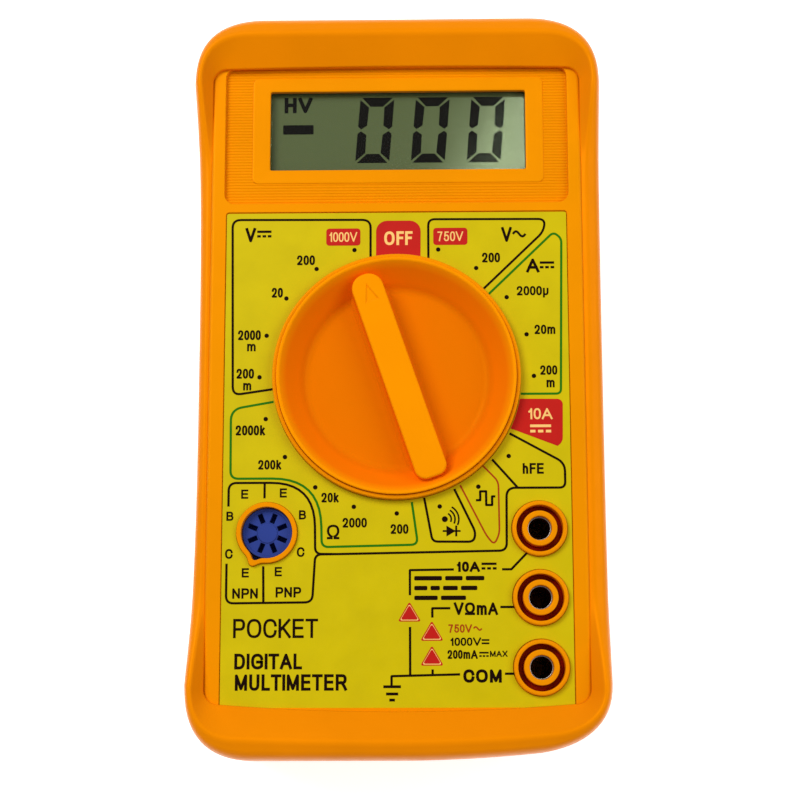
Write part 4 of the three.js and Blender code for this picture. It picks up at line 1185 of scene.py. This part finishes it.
def red_print():
    """Fields of OFF, 10A and the highest voltages, then the warning triangles."""
    ink = Print()
    edge = LABEL_HOLE_RADIUS + 0.1
    off_start = 90 - math.degrees(math.asin(4.6 / edge))
    off_end = 90 + math.degrees(math.asin(3.85 / edge))
    ink.slab(arc(0, 0, edge, off_start, off_end, 10) + arc(-1.75, 28.15, 2.1, 180, 90, 6)
             + arc(2.55, 28.15, 2.1, 90, 0, 6))
    ten_start = math.degrees(math.atan2(-10.1, 21.6))
    ten_end = math.degrees(math.atan2(-4.4, 23.4))
    ink.slab(arc(0, 0, edge, ten_start, ten_end, 10) + arc(30.1, -5.4, 1, 90, 0, 5)
             + arc(29.1, -11.6, 1.9, 0, -62, 6))
    for _, x, y, *_ in HIGH_VOLTS:
        ink.slab(rounded_rect(6.5, 3.35, 0.6, x, y))
    for x, y in TRIANGLES:
        ink.slab(triangle(x, y, 3.9, 3.4), holes=[triangle(x, y - 0.1, 3.3, 2.85)])
        ink.slab(triangle(x, y - 0.12, 2.9, 2.48), lift=(0, 0.02))
    return ink


def cream_print():
    """Lettering on the red fields, then the ground of the warning triangles just under their red."""
    ink = Print(INK_TOP, INK_TOP + 0.03)
    ink.lettering("OFF", 0.4, 26.8, 5.4, 2.7, 0.5)
    ink.lettering("10A", 26.9, -7.2, 4.5, 2.1, 0.34)
    for row in HIGH_VOLTS:
        ink.lettering(*row, 0.25)
    ink.dc_mark(26.9, -10.0, 3.9, 1.0)
    for x, y in TRIANGLES:
        ink.slab(triangle(x, y - 0.1, 3.5, 3.0), lift=(-0.07, -0.04))
    return ink


def green_print():
    """Lines around the direct-current and resistance ranges."""
    ink = Print()
    ink.stroke([(17.4, 15.7), (29.9, 27.8), (31.4, 26.6), (30.8, -3.4), (23.3, -3.4)], LINE, 0.9)
    ink.stroke([(-23.1, -4.7), (-31.1, -6.1), (-31.0, -19.2), (-14.2, -19.2), (-13.9, -32.0),
                (3.9, -31.6), (2.8, -23.7)], LINE, [2.2, 1.5, 9, 1.3, 1.3])
    return ink


def brown_print():
    """Line around the test ranges, and the alternating voltage limit of the sockets."""
    ink = Print()
    ink.stroke([(16.1, -17.0), (18.9, -19.9), (19.0, -29.6), (18.0, -31.7), (16.6, -30.0), (11.8, -20.6)],
               0.3, 1.0)
    ink.lettering("750V", 11.6, -47.0, 4.3, 1.5, 0.25)
    ink.wave_mark(14.8, -47.0, 1.5, 0.6)
    return ink


for colour, build in (("black", black_print), ("red", red_print), ("cream", cream_print),
                      ("green", green_print), ("brown", brown_print)):
    piece("print_" + colour, build(), "ink_" + colour)

# ---------- display


def digit(ink, x, y):
    """The six lit bars of a seven-bar zero centred on (x, y), leaning to the right."""
    side, end, thick, lean = 3.3, 6.6, 1.8, 0.08
    end_bar = [(0.35 - side, end), (side - 0.35, end), (side - thick - 0.3, end - thick),
               (thick + 0.3 - side, end - thick)]
    side_bar = [(side - 0.02, end - 0.45), (side, 0.75), (side - 0.6, 0.2), (side - thick + 0.1, 0.95),
                (side - thick, end - thick - 0.2)]
    for flip in (1, -1):
        for bar in (end_bar, side_bar, [(-across, along) for across, along in side_bar]):
            ink.slab([(x + across + lean * along * flip, y + along * flip) for across, along in bar])


def display_print():
    """Three zeros, a minus sign and HV on the display glass."""
    ink = Print(GLASS_TOP + 0.01, GLASS_TOP + 0.06)
    for x in (-4.2, 6.6, 17.4):
        digit(ink, x, 49.3)
    ink.slab(rounded_rect(5.9, 1.85, 0.15, -19.1, 49.5))
    ink.lettering("HV", -19.1, 54.45, 5.4, 3.1, 0.7)
    return ink


piece("display_segments", display_print(), "ink_segment")

# ---------- sockets


def socket_skin():
    """Blue transistor socket: a raised rim around eight radial contact slots."""
    skin = Skin()
    x, y = SOCKET
    foot, rim = low("hfe_socket")[2], high("hfe_socket")[2]
    face, flange = rim - 0.3, FACE - 3.1
    body = skin.lathe([(0, foot), (6.4, foot), (6.4, flange), (4.65, flange), (4.65, rim), (4.2, rim),
                       (4.1, face), (4.0, face)], [0.2, 0.3, 0.2, 0.15, 0.1, 0.1], x, y, 96)
    slots = []
    for i in range(8):
        angle = (i + 0.5) * math.pi / 4
        cosine, sine = math.cos(angle), math.sin(angle)
        corners = [(x + reach * cosine - across * sine, y + reach * sine + across * cosine)
                   for reach, across in ((2.05, -0.46), (3.85, -0.46), (3.85, 0.46), (2.05, 0.46))]
        wall = skin.sweep(corners, [(0.05, face), (0, face - 0.06), (0, face - 3)])
        skin.fill(wall[-1])
        slots.append(wall[0])
    hub = skin.lathe([(1.9, face), (1.8, face + 0.2), (0, face + 0.2)], [0.12], x, y, 48)
    skin.fill(body[-1], [*slots, hub[0]])
    return skin


piece("transistor_socket", socket_skin(), "socket_blue", ["hfe_socket"])


def tube_skin(x, y):
    """Metal tube of a plug socket, with the collar that is soldered under the board."""
    skin = Skin()
    bore, wall, collar = 2.02, 2.2, 3.3
    collar_foot, collar_top = BOARD_BOTTOM - 1.2, BOARD_BOTTOM - 0.1
    skin.lathe([(bore, TUBE_FOOT), (wall, TUBE_FOOT), (wall, collar_foot), (collar, collar_foot),
                (collar, collar_top), (wall, collar_top), (wall, TUBE_TOP), (bore, TUBE_TOP),
                (bore, TUBE_FOOT)], [0.05, 0.1, 0.2, 0.2, 0.1, 0.06, 0.06], x, y, 56)
    return skin


for node, (x, y) in zip(JACK_TUBES, JACKS):
    piece(node.replace("tube", "liner"), tube_skin(x, y), "socket_tube_metal", [node])

# ---------- carried-over nodes

for row in frame["record"]["subparts"]:
    node = frame["nodes"][row["node"]]
    node.data.materials.clear()
    node.data.materials.append(MATERIALS[row["material_slot"]])
